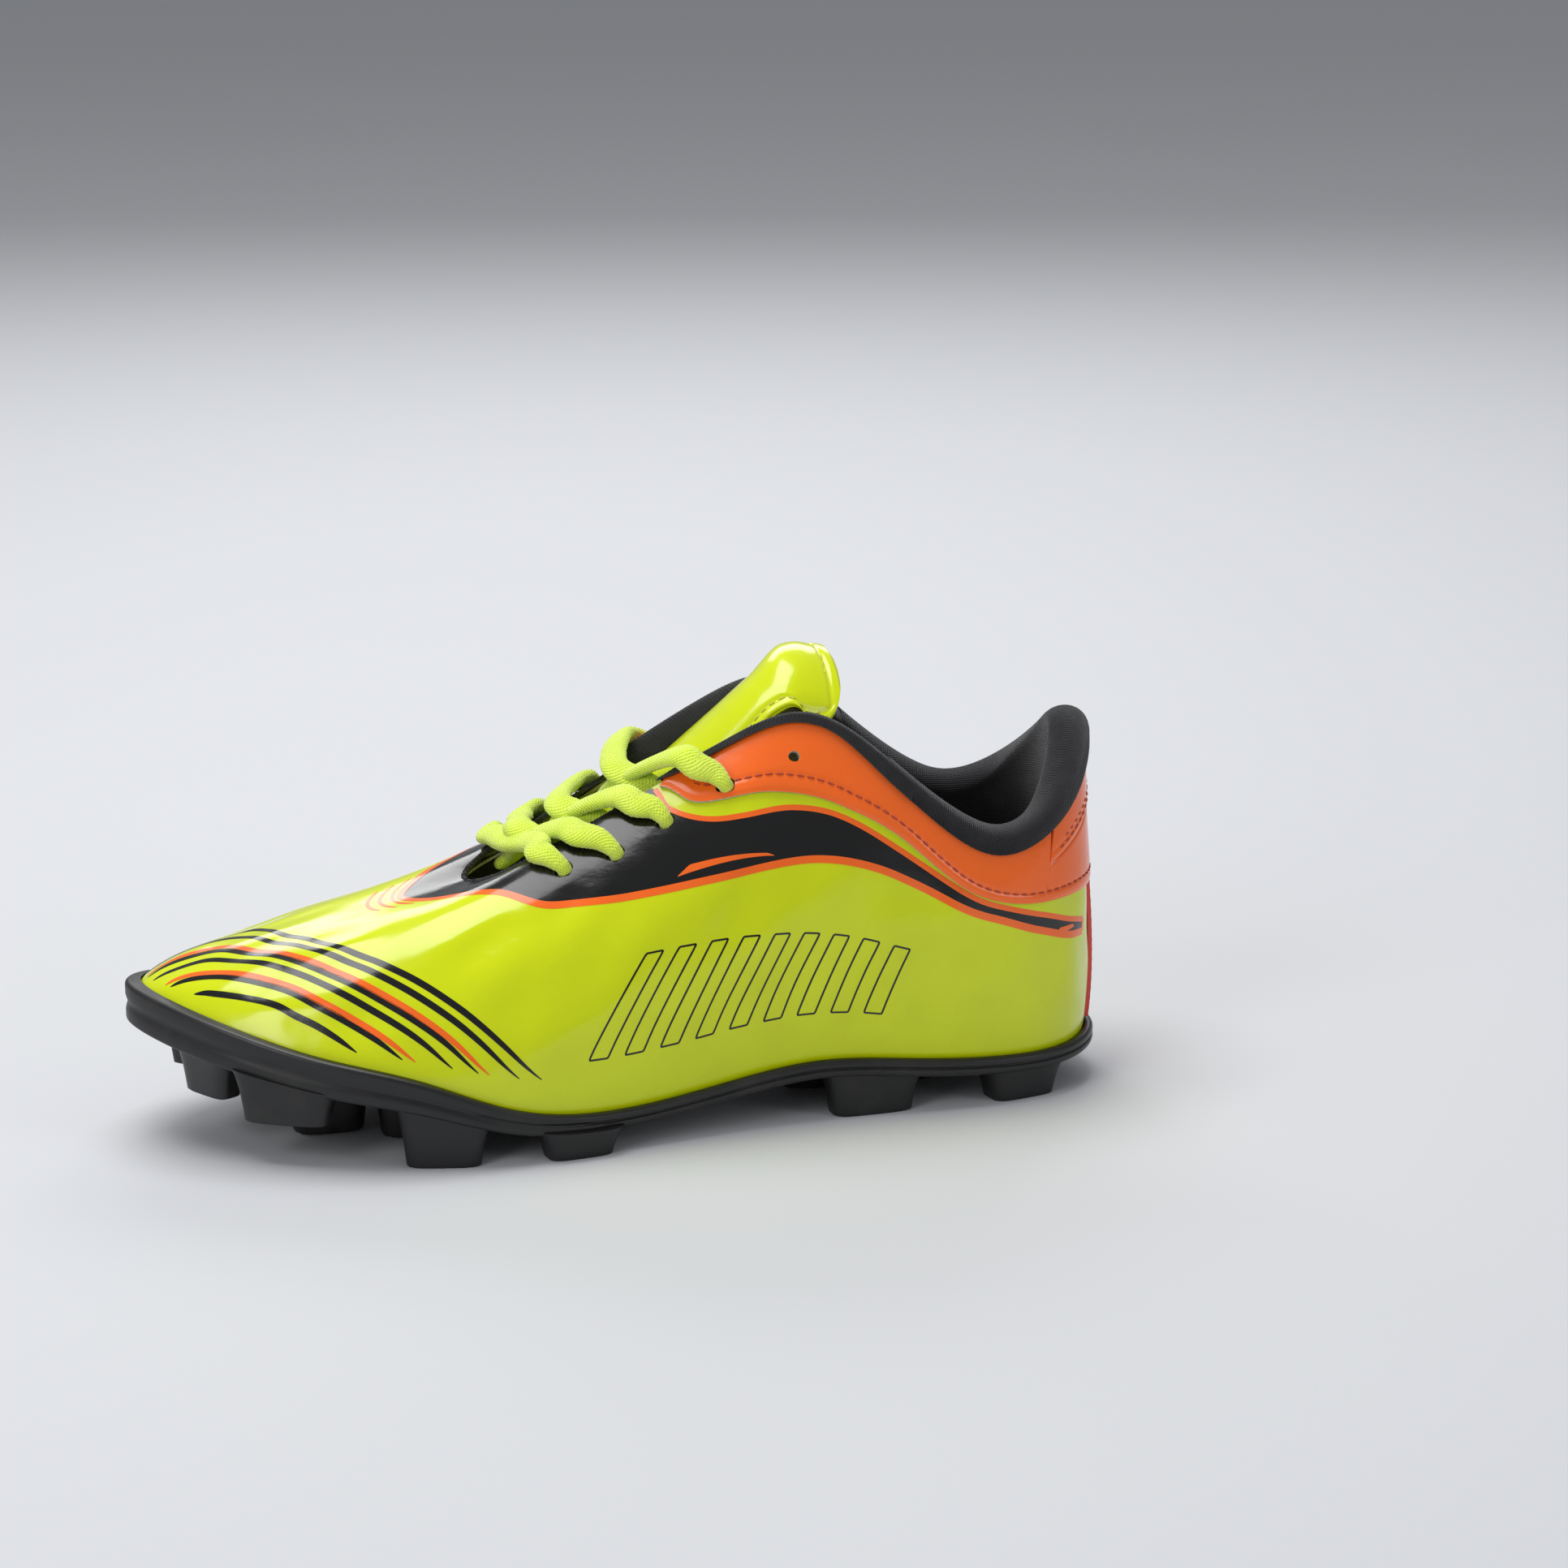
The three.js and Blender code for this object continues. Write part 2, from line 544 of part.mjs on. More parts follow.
// Ribbed tape folded over the edge from the padded collar to the fourth lace row.
const BINDING = 0.9;
const BINDING_LEG = 4;
const BINDING_END = 7.5;
function toplineBinding(lateral) {
  const outside = GAP * 2 + PANEL_SHEET;
  const inside = LINING_BACK + GAP;
  const span = [COLLAR_END + STEP, lateral ? BINDING_END : BINDING_END + STEP];
  const [from, to] = lateral ? span : [N - span[1], N - span[0]];
  const rings = samples(from, to).map((u) => {
    const leg = (rise, out) => edgePoint(u, rise, out);
    const outer = [
      leg(-BINDING_LEG, outside + BINDING), leg(GAP, outside + BINDING), leg(GAP + BINDING, outside * 0.4),
      leg(GAP + BINDING, -inside * 0.6), leg(GAP, -inside - BINDING), leg(-BINDING_LEG, -inside - BINDING),
    ];
    const inner = [
      leg(-BINDING_LEG, -inside), leg(GAP * 0.6, -inside), leg(GAP, -inside * 0.6),
      leg(GAP, outside * 0.4), leg(GAP * 0.6, outside), leg(-BINDING_LEG, outside),
    ];
    return [...outer, ...inner];
  });
  return ringSolid(rings, { closedRound: false });
}

// ---------------------------------------------------------------- tongue
// Middle line of the tongue's outer face from under the vamp to the tip: [x, z, half width].
const TONGUE_LINE = [
  [-60, 58.5, 17], [-44, 61.5, 20], [-22, 70, 22], [0, 81.5, 23], [20, 94.5, 23],
  [37, 107, 20.5], [47, 116, 15.8], [52.5, 123.5, 16.6], [54.5, 131, 13],
];
const TONGUE_BENDS = [30, 22]; // radius of the tongue's arch across, at its base and at its tip
const TONGUE_MIDDLE = [1.5, 0.2]; // how far the middle line lies towards the medial side, base and tip
const TONGUE_HINGE = 5.75;    // place along the line where the free flap starts
const HINGE_GAP = 0.6;
const TONGUE_STEPS = 20;
const tongueCurve = new THREE.CatmullRomCurve3(
  TONGUE_LINE.map(([x, z, half]) => new THREE.Vector3(x * stretch[0], half * stretch[1], z * stretch[2])));

// Point of the tongue at share s of its length, across -1..1, and depth below its outer face.
function tonguePoint(s, across, depth) {
  const p = tongueCurve.getPoint(s);
  const t = tongueCurve.getTangent(s);
  const normal = new THREE.Vector2(-t.z, t.x).normalize();
  const bend = THREE.MathUtils.lerp(...TONGUE_BENDS, THREE.MathUtils.smoothstep(s, 0.4, 0.85));
  const angle = (across * p.y) / bend;
  const radius = bend - depth;
  const drop = bend - radius * Math.cos(angle);
  const middle = THREE.MathUtils.lerp(...TONGUE_MIDDLE, s);
  return new THREE.Vector3(p.x - normal.x * drop, radius * Math.sin(angle) + middle, p.z - normal.y * drop);
}

function tongueSheet(from, to, near, far) {
  const count = Math.max(4, Math.round((to - from) * TONGUE_STEPS));
  const acrossSteps = 7;
  const rings = Array.from({ length: count + 1 }, (_, i) => {
    const s = from + ((to - from) * i) / count;
    const row = (depth) => Array.from({ length: acrossSteps + 1 }, (__, j) =>
      tonguePoint(s, (2 * j) / acrossSteps - 1, depth));
    return [...row(near), ...row(far).reverse()];
  });
  return ringSolid(rings, { closedRound: false });
}
const TONGUE_LAYERS = {
  face: [0, TONGUE_FACE],
  foam: [TONGUE_FACE + GAP, TONGUE_FACE + GAP + TONGUE_FOAM],
  lining: [TONGUE_FACE + TONGUE_FOAM + 2 * GAP, TONGUE_FACE + TONGUE_FOAM + 2 * GAP + TONGUE_LINING],
};
const hingeShare = TONGUE_HINGE / (TONGUE_LINE.length - 1);
const hingeGapShare = HINGE_GAP / tongueCurve.getLength();

// ---------------------------------------------------------------- inner layers of the forepart
const LINING_TOP = 0.975;
function liningSheet(from, to) {
  const body = sheet({
    from, to, low: (u) => layerFoot(u, LINING_BACK), high: () => LINING_TOP, near: LINING_DEPTH, far: LINING_BACK,
  });
  return cutAll(body, [...eyeletPins(true), ...eyeletPins(false)]);
}

// Reinforcing strip behind the eyelets.
const REINFORCEMENT_WIDTH = 21;
function eyestayReinforcement(lateral) {
  const span = [5.5, 10.5];
  const [from, to] = lateral ? span : [N - span[1], N - span[0]];
  const body = sheet({
    from, to, low: (u) => shareBelowTop(u, REINFORCEMENT_WIDTH), high: () => LINING_TOP,
    near: STIFFENER_DEPTH, far: STIFFENER_DEPTH + STIFFENER,
  });
  return cutAll(body, eyeletPins(lateral));
}

// ---------------------------------------------------------------- lace
// A place beside the throat: a share of the way from one eyelet row to the next, distance below the
// throat edge (negative is out over the throat) and height above the upper's face.
function eyestayPlace(side, row, share, below, height) {
  const [here, next] = [rowStation(side, row), rowStation(side, Math.min(row + 1, EYELET_ROWS.length - 1))];
  const station = here + (next - here) * share;
  if (below < 0) return edgePoint(station, -below, height);
  return layerPoint(...inFromEdge(station, below), -height);
}
// Halfway across the throat, at a height above the line between its edges.
function throatMiddle(row, share, height) {
  const p = eyestayPlace(1, row, share, 0, 0).add(eyestayPlace(-1, row, share, 0, 0)).multiplyScalar(0.5);
  return p.add(new THREE.Vector3(-0.5, 0, 0.87).multiplyScalar(height));
}
const UNDER = -(LINING_BACK + GAP + LACE_DIAMETER / 2 + 0.3); // height of the lace below the eyestay
const OVER = LACE_DIAMETER / 2 + GAP;                        // and lying on it
const CROSS_LOW = -1.4;
const CROSS_HIGH = 3.8;
const LACED_ROWS = 4;

// Height of what lies on the upper's face at a row: the collar panel, and the tape at its edge.
const cover = (row, atEdge) => {
  if (row < LACED_ROWS - 1) return 0;
  return GAP + PANEL_SHEET + (atEdge ? GAP + BINDING : 0);
};

// Down into an eyelet: places along the hole's axis from outside to inside.
function throughEyelet(side, row) {
  return [cover(row, false) + 0.8, -LINING_BACK - 0.6].map((height) =>
    eyestayPlace(side, row, 0, EYELET_INSET, height));
}

// From an eyelet, dived into from outside, under the eyestay edge and over to the next row opposite.
function laceCrossing(side, row, crossHeight) {
  const lift = cover(row + 1, false);
  const edgeLift = cover(row + 1, true);
  const emerge = row < LACED_ROWS - 2 ? 0.2 : -0.08; // the last crossing comes out in front of the tape
  return [
    ...throughEyelet(side, row),
    eyestayPlace(side, row, emerge * 0.3, EYELET_INSET - 3.4, UNDER),
    eyestayPlace(side, row, emerge * 0.7, 3.2, UNDER),
    eyestayPlace(side, row, emerge, -3, UNDER * 0.75),
    throatMiddle(row, 0.5, crossHeight),
    eyestayPlace(-side, row, 0.84, -1.5, OVER + edgeLift + 0.9),
    eyestayPlace(-side, row, 0.93, 4, OVER + edgeLift + 0.3),
    eyestayPlace(-side, row, 1, EYELET_INSET - 2.4, OVER + lift + 0.3),
  ];
}
function laceHalf(side) {
  const points = [];
  let from = side;
  for (let row = 0; row < LACED_ROWS - 1; row += 1) {
    points.push(...laceCrossing(from, row, from > 0 ? CROSS_HIGH : CROSS_LOW));
    from = -from;
  }
  const last = LACED_ROWS - 1;
  const tail = [[0.04, 3.4, 0], [0.08, 10, 0.4], [0.12, 18, 1.4], [0.16, 26, 2.2]];
  points.push(
    ...throughEyelet(from, last),
    ...tail.map(([share, further, deeper]) =>
      eyestayPlace(from, last, share, EYELET_INSET + further, UNDER - deeper)),
  );
  return points;
}
function laceRoute() {
  const half = (side) => [
    eyestayPlace(side, 0, -0.04, -1.5, OVER + 0.6),
    eyestayPlace(side, 0, -0.02, 4, OVER + 0.2),
    eyestayPlace(side, 0, 0, EYELET_INSET - 2.4, OVER + 0.3),
  ];
  return [
    ...laceHalf(-1).reverse(), ...half(-1).reverse(), throatMiddle(0, -0.05, 3), ...half(1), ...laceHalf(1),
  ];
}

function tube(curve, diameter, sides, steps) {
  const section = new THREE.Shape(Array.from({ length: sides }, (_, i) => new THREE.Vector2(
    Math.cos((2 * Math.PI * i) / sides), Math.sin((2 * Math.PI * i) / sides)).multiplyScalar(diameter / 2)));
  return plain(new THREE.ExtrudeGeometry(section, { extrudePath: curve, steps, bevelEnabled: false }));
}

// An aglet carries on straight from the lace's end.
function agletGeometry(end, before) {
  const direction = end.clone().sub(before).normalize();
  const geometry = new THREE.CylinderGeometry(AGLET_DIAMETER / 2, AGLET_DIAMETER / 2, AGLET_LENGTH, 10);
  geometry.applyQuaternion(new THREE.Quaternion().setFromUnitVectors(new THREE.Vector3(0, 1, 0), direction));
  geometry.translate(...end.clone().addScaledVector(direction, GAP + AGLET_LENGTH / 2));
  return plain(geometry);
}

// ---------------------------------------------------------------- assembly
const shoe = new THREE.Group();
function addPiece(name, geometry, color, roughness, metalness = 0) {
  const mesh = new THREE.Mesh(geometry, new THREE.MeshStandardMaterial({ color, roughness, metalness }));
  mesh.name = name;
  shoe.add(mesh);
}

const YELLOW = 0xc8ee12;
const ORANGE = 0xff5a1c;
const BLACK = 0x161516;
const KNIT = 0x1d1d20;
addPiece('outsole', outsoleGeometry(), BLACK, 0.5);
addPiece('lasting_board', insoleLayer(UPPER_SHEET + 3 * GAP, BOARD_BOTTOM, BOARD), 0xb9a88c, 0.9);
addPiece('sock_liner', insoleLayer(SOCK_DEPTH, SOCK_BOTTOM, SOCK_LINER), KNIT, 0.9);
addPiece('upper', upperGeometry(), YELLOW, 0.2);
for (const [name, from, to, high] of [['toe_puff', 9.5, 14.5, 0.42], ['heel_counter', -3.5, 3.5, 0.6]]) {
  const depth = STIFFENER_DEPTH + STIFFENER;
  addPiece(name, sheet({
    from, to, low: (u) => layerFoot(u, depth), high: () => high, near: STIFFENER_DEPTH, far: depth,
  }), 0xd8d4c8, 0.7);
}
addPiece('collar_panel_lateral', collarPanel(true), ORANGE, 0.25);
addPiece('collar_panel_medial', collarPanel(false), ORANGE, 0.25);
addPiece('heel_tab', sheet({
  from: -TAB_HALF, to: TAB_HALF, low: () => TAB_LOW, high: () => 1, near: -GAP - PANEL_SHEET, far: -GAP,
}), ORANGE, 0.25);
addPiece('back_strip', sheet({
  from: -STRIP_HALF, to: STRIP_HALF, low: (u) => shareAtHeight(u, rimTop(u) + STRIP_RISE, -GAP),
  high: () => TAB_LOW - STRIP_RISE / CORNER_HEIGHT, near: -GAP - STRIP_SHEET, far: -GAP,
}), 0xf2545b, 0.3);
addPiece('collar_foam', collarFoam(), 0x8a8a88, 0.95);
addPiece('collar_lining', collarLining(), KNIT, 0.95);
for (const [side, lateral] of [['lateral', true], ['medial', false]]) {
  addPiece(`topline_binding_${side}`, toplineBinding(lateral), KNIT, 0.9);
}
for (const [part, from, to] of [['base', 0, hingeShare], ['flap', hingeShare + hingeGapShare, 1]]) {
  for (const [layer, [near, far]] of Object.entries(TONGUE_LAYERS)) {
    addPiece(`tongue_${part}_${layer}`, tongueSheet(from, to, near, far), layer === 'face' ? YELLOW : KNIT, 0.4);
  }
}

addPiece('vamp_lining', liningSheet(8 + STEP, N - 8 - STEP), 0xe9e6dc, 0.9);
for (const [side, lateral] of [['lateral', true], ['medial', false]]) {
  const span = [COLLAR_END + STEP, 8];
  addPiece(`quarter_lining_${side}`, lateral ? liningSheet(...span) : liningSheet(N - span[1], N - span[0]),
    0xe9e6dc, 0.9);
  addPiece(`eyestay_reinforcement_${side}`, eyestayReinforcement(lateral), 0xd8d4c8, 0.8);
}
const route = laceRoute();
addPiece('lace', tube(new THREE.CatmullRomCurve3(route, false, 'centripetal'), LACE_DIAMETER, 8, 110), 0xd4ff3a, 0.8);
addPiece('aglet_lateral', agletGeometry(route.at(0), route.at(1)), 0xd4ff3a, 0.3);
addPiece('aglet_medial', agletGeometry(route.at(-1), route.at(-2)), 0xd4ff3a, 0.3);

// The frame's origin lies under the middle of the whole shoe's box.
const middle = new THREE.Box3().setFromObject(shoe).getCenter(new THREE.Vector3());
for (const mesh of shoe.children) mesh.geometry.translate(-middle.x, -middle.y, 0);

export default shoe;
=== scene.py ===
"""Left soccer cleat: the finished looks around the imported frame.

Shapes are worked out in millimetres as whole numpy arrays and put into meshes in metres.
Stations u run round the shoe: 0 the centre of the heel, 12 the tip of the toe, 1 to 11 the outer
(lateral) side, 13 to 23 the inner (medial) side. The share v runs up the upper, 0 foot to 1 top edge.
"""
import math

import bmesh
import bpy
import numpy as np
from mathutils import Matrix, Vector


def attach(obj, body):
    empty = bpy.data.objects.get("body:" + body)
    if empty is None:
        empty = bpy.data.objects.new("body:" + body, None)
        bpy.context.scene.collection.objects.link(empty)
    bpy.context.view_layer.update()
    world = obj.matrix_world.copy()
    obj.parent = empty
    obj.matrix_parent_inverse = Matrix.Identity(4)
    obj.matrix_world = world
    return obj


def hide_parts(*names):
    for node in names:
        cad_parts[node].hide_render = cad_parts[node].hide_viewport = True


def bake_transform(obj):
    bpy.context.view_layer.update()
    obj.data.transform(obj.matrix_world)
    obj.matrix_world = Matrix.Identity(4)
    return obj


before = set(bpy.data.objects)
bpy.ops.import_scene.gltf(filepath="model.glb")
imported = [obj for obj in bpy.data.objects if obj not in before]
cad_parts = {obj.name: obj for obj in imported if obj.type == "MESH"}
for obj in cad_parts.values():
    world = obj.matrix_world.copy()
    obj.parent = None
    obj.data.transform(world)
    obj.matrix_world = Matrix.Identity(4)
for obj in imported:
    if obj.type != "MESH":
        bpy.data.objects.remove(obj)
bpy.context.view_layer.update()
MM = 0.001

# ---------------------------------------------------------------- camera
CAMERA_PLACE = Vector((-0.2771, -1.2129, 0.4291))
CAMERA_AIM = Vector((0.0479, 0.0, 0.0926))
camera_data = bpy.data.cameras.new("camera")
camera_data.lens = 103.2
camera = bpy.data.objects.new("camera", camera_data)
bpy.context.scene.collection.objects.link(camera)
camera.location = CAMERA_PLACE
camera.rotation_euler = (CAMERA_AIM - CAMERA_PLACE).to_track_quat("-Z", "Y").to_euler()
bpy.context.scene.camera = camera
bpy.context.scene.view_settings.view_transform = "Standard"

# ---------------------------------------------------------------- the last
GAP = 0.5
UPPER_SHEET = 1.2
PANEL_SHEET = 1.0
STIFFENER = 1.1
LINING = 0.7
COLLAR_KNIT = 1.0
COLLAR_FOAM = 4.6
RIM_WALL = 3.1
STIFFENER_DEPTH = UPPER_SHEET + GAP
LINING_DEPTH = STIFFENER_DEPTH + STIFFENER + GAP
LINING_BACK = LINING_DEPTH + LINING
EDGE_STEP = 0.97  # the sheet's direction at the top edge is read from this share up
SHIFT = np.array([0.0, 1.78, 0.0])  # the frame's origin lies under the middle of the shoe's box
# Each row: foot x y | rim top, floor, underside | top edge x y z | pull at the foot | pull at the top edge.
LAST = np.array([
    [139.5, 0, 15, 12.6, 9.6, 137, 0, 105, 4, 0, 30, -1, 0, -30],
    [130.5, -20.5, 14.6, 12.2, 9.4, 133, -13.5, 98, 3, -3, 28, 1, -2, -26],
    [110, -30.2, 14.6, 12, 9.4, 121, -25.5, 85, 2, -5, 24, -1, -4, -20],
    [80.5, -32, 16.4, 13.8, 11, 102, -30.5, 79.5, 1, -6, 25, -4, -6, -20],
    [50.5, -31.8, 18.3, 15.8, 13, 81, -29.5, 94, 2, -5, 28, -6, -8, -25],
    [20.5, -35, 15, 12.4, 9.8, 63, -23.8, 110, 2, -5, 30, -8, -13, -32],
    [-9.5, -41, 12.2, 9.8, 7.2, 46, -18.5, 116, 0, -4, 26, -13, -18, -33],
    [-39.5, -46, 15.6, 12.4, 8.7, 27, -15, 108, -2, -3, 22, -18, -19, -29],
    [-67.5, -44.6, 26, 21, 16.5, 8, -13.5, 98.5, -3, -1, 18, -22, -18, -27],
    [-93.5, -36.8, 32.5, 27.5, 21.5, -10, -12.8, 89, -4, 0, 15, -30, -17, -23],
    [-115.5, -23.8, 38.6, 33, 26.5, -26, -12, 80.5, -4, -1, 14, -40, -13, -20],
    [-131, -8.5, 43, 37.5, 30.5, -40, -7.5, 73, -3, -1, 13, -47, -5, -15],
    [-139.5, 8, 45, 39.5, 33, -46, 1.5, 70.5, -2, 0, 12, -50, 2, -13],
    [-133, 23.5, 43, 37.5, 30.5, -40, 10.5, 74, -3, 1, 13, -45, 8, -15],
    [-116.5, 34.5, 38.5, 33, 26.5, -26, 14, 80.5, -4, 1, 15, -37, 14, -19],
    [-92.5, 41, 32, 27.5, 21.5, -10, 15, 89.5, -3, 1, 18, -28, 17, -22],
    [-65.5, 43.8, 24.5, 20.5, 16, 8, 16, 100.5, -2, 2, 22, -19, 18, -27],
    [-37.5, 42.3, 15.5, 12.4, 8.7, 27, 17, 111, 0, 3, 26, -15, 19, -31],
    [-7.5, 35.5, 13, 9.8, 7.2, 46, 19.5, 117.5, 2, 5, 32, -11, 17, -35],
    [22.5, 28.2, 17, 13.5, 10.5, 63, 24.2, 111.5, 3, 6, 34, -7, 12, -32],
    [52.5, 26.2, 20, 16.5, 13.5, 81, 28.8, 96, 3, 7, 30, -5, 8, -26],
    [82.5, 28.4, 17, 14, 11, 102, 29.8, 82, 1, 6, 26, -3, 6, -21],
    [110.5, 28.4, 14.6, 12, 9.4, 121, 25, 87, 2, 4, 24, -1, 4, -20],
    [131, 19.8, 14.6, 12.2, 9.4, 133, 13.2, 99, 3, 3, 28, 1, 2, -26],
])
N = len(LAST)
RING = np.eye(N)
CONTROLS = np.linalg.solve((4 * RING + np.roll(RING, 1, 0) + np.roll(RING, -1, 0)) / 6, LAST)


def along(u):
    """Closed cubic B-spline through every column of the last, at stations u."""
    w = np.mod(np.asarray(u, float), N)
    i = np.floor(w).astype(int)
    t = (w - i)[..., None]
    basis = ((1 - t) ** 3, 3 * t**3 - 6 * t**2 + 4, -3 * t**3 + 3 * t**2 + 3 * t + 1, t**3)
    return sum(b * CONTROLS[(i + k - 1) % N] for k, b in enumerate(basis)) / 6


def face(u, v):
    """Outer face of the upper: a cubic Bezier from the foot (v = 0) to the top edge (v = 1)."""
    u, v = np.broadcast_arrays(np.asarray(u, float), np.asarray(v, float))
    row = along(u)
    v = v[..., None]
    p0 = np.concatenate([row[..., 0:2], row[..., 3:4] + GAP], -1)
    p3 = row[..., 5:8]
    p1, p2 = p0 + row[..., 8:11], p3 + row[..., 11:14]
    return (1 - v) ** 3 * p0 + 3 * v * (1 - v) ** 2 * p1 + 3 * v**2 * (1 - v) * p2 + v**3 * p3 + SHIFT


def unit(a):
    """Vectors of length 1."""
    return a / np.maximum(np.linalg.norm(a, axis=-1, keepdims=True), 1e-9)


def face_normal(u, v):
    """Outward normal: cross product of the small steps up and along the face."""
    h = 0.02
    across = face(u + h, v) - face(u - h, v)
    up = face(u, np.minimum(v + h, 1)) - face(u, np.maximum(v - h, 0))
    return unit(np.cross(up, across))


def layer(u, v, depth):
    """Point a depth below the outer face; a negative depth lies above it."""
    u, v, depth = np.broadcast_arrays(*(np.asarray(a, float) for a in (u, v, depth)))
    return face(u, v) - face_normal(u, v) * depth[..., None]


def run_length(path):
    """Distance from the first point to each point of a path, summed over its steps."""
    return np.concatenate([[0], np.cumsum(np.linalg.norm(np.diff(path, axis=0), axis=1))])


def full_turn(count):
    """Angles of a full turn in equal steps, the last one short of the first."""
    return np.linspace(0, 2 * np.pi, count + 1)[:-1]


def spread(values, count):
    """One value for each row, repeated over count columns."""
    return np.repeat(values[:, None], count, 1)


def smoothstep(x, a, b):
    """0 up to a, 1 from b on, and 3t^2 - 2t^3 between them."""
    t = np.clip((np.asarray(x, float) - a) / (b - a), 0, 1)
    return t * t * (3 - 2 * t)


def share_below_top(u, distance):
    """Share v at a surface distance below the top edge."""
    slope = np.linalg.norm(face(u, 1.0) - face(u, 0.99), axis=-1) / 0.01
    return 1 - distance / slope


def share_at_height(u, height, depth):
    """Share v where a layer reaches a height, by halving."""
    low, high = np.zeros_like(u), np.full_like(u, 0.4)
    for _ in range(18):
        mid = (low + high) / 2
        below = layer(u, mid, depth)[..., 2] < height
        low, high = np.where(below, mid, low), np.where(below, high, mid)
    return low


def edge_point(u, rise, out):
    """Point beside the top edge: rise along the sheet, out along its normal."""
    rise, out = (np.asarray(a, float)[..., None] for a in (rise, out))
    tip = face(u, 1.0)
    up = unit(tip - face(u, EDGE_STEP))
    return tip + up * rise + face_normal(u, 1.0) * out


def in_from_edge(u, distance):
    """Station and share of a place straight in from the top edge at station u."""
    h = 0.01
    edgeway = (face(u + h, 1.0) - face(u - h, 1.0)) / (2 * h)
    up = (face(u, 1.0) - face(u, 1 - 2 * h)) / (2 * h)
    slant = -(edgeway * up).sum(-1) / (edgeway * edgeway).sum(-1)
    step = -distance / np.linalg.norm(up + edgeway * np.asarray(slant)[..., None], axis=-1)
    return u + slant * step, 1 + step


def catmull(points, t):
    """Centripetal Catmull-Rom curve through the points; t from 0 to 1 counts the points evenly."""
    points = np.asarray(points, float)
    last = len(points) - 1
    w = np.clip(np.asarray(t, float) * last, 0, last - 1e-9)
    i = np.floor(w).astype(int)
    f = (w - i)[:, None]
    more = np.vstack([2 * points[0] - points[1], points, 2 * points[-1] - points[-2]])
    x0, x1, x2, x3 = (more[i + k] for k in range(4))
    d0, d1, d2 = (np.maximum(np.linalg.norm(b - a, axis=1), 1e-6)[:, None] ** 0.5
                  for a, b in ((x0, x1), (x1, x2), (x2, x3)))
    m1 = ((x1 - x0) / d0 - (x2 - x0) / (d0 + d1) + (x2 - x1) / d1) * d1
    m2 = ((x2 - x1) / d1 - (x3 - x1) / (d1 + d2) + (x3 - x2) / d2) * d1
    return x1 + m1 * f + (-3 * x1 + 3 * x2 - 2 * m1 - m2) * f**2 + (2 * x1 - 2 * x2 + m1 + m2) * f**3


def graph(knots, x):
    """Smooth curve through knots (x, y), read at x."""
    dense = catmull(knots, np.linspace(0, 1, 40 * len(knots)))
    return np.interp(x, dense[:, 0], dense[:, 1])


def mirrored(u):
    """Station counted from the heel's centre on either side: 0 at the heel, 12 at the toe."""
    w = np.mod(u, N)
    return np.minimum(w, N - w)


# ---------------------------------------------------------------- meshes
def grid_quads(rows, cols, close_rows=False, close_cols=False):
    """Four-sided faces of a grid of points numbered row by row."""
    i = np.arange(rows if close_rows else rows - 1)[:, None]
    j = np.arange(cols if close_cols else cols - 1)[None, :]
    i2, j2 = (i + 1) % rows, (j + 1) % cols
    return np.stack([i * cols + j, i * cols + j2, i2 * cols + j2, i2 * cols + j], -1).reshape(-1, 4)


def outward(points, quads):
    """The same faces, turned if the closed body they bound would have a negative volume."""
    a, b, c, d = (points[quads[:, k]] for k in range(4))
    volume = (a * np.cross(b, c)).sum() + (a * np.cross(c, d)).sum()
    return quads if volume > 0 else quads[:, ::-1]


def shell(outer, inner, close_rows=False, holes=None):
    """Closed wall between two grids of points: both faces, and a strip along every free edge.

    Returns points, faces and, for each face, 0 outer, 1 inner, 2 edge, 3 edge of a hole.
    """
    rows, cols = outer.shape[:2]
    quads = grid_quads(rows, cols, close_rows)
    count = rows * cols
    inside = np.zeros(count, bool) if holes is None else holes.ravel()
    quads = quads[~inside[quads].all(1)]
    start, end = quads.ravel(), np.roll(quads, -1, 1).ravel()
    free = ~np.isin(start * count + end, end * count + start)
    a, b = start[free], end[free]
    strip = np.stack([b, a, a + count, b + count], 1)
    kinds = np.concatenate([np.zeros(len(quads)), np.ones(len(quads)), np.where(inside[a] & inside[b], 3, 2)])
    points = np.concatenate([outer.reshape(-1, 3), inner.reshape(-1, 3)])
    faces = np.concatenate([quads, quads[:, ::-1] + count, strip])
    return points, faces, kinds.astype(int)


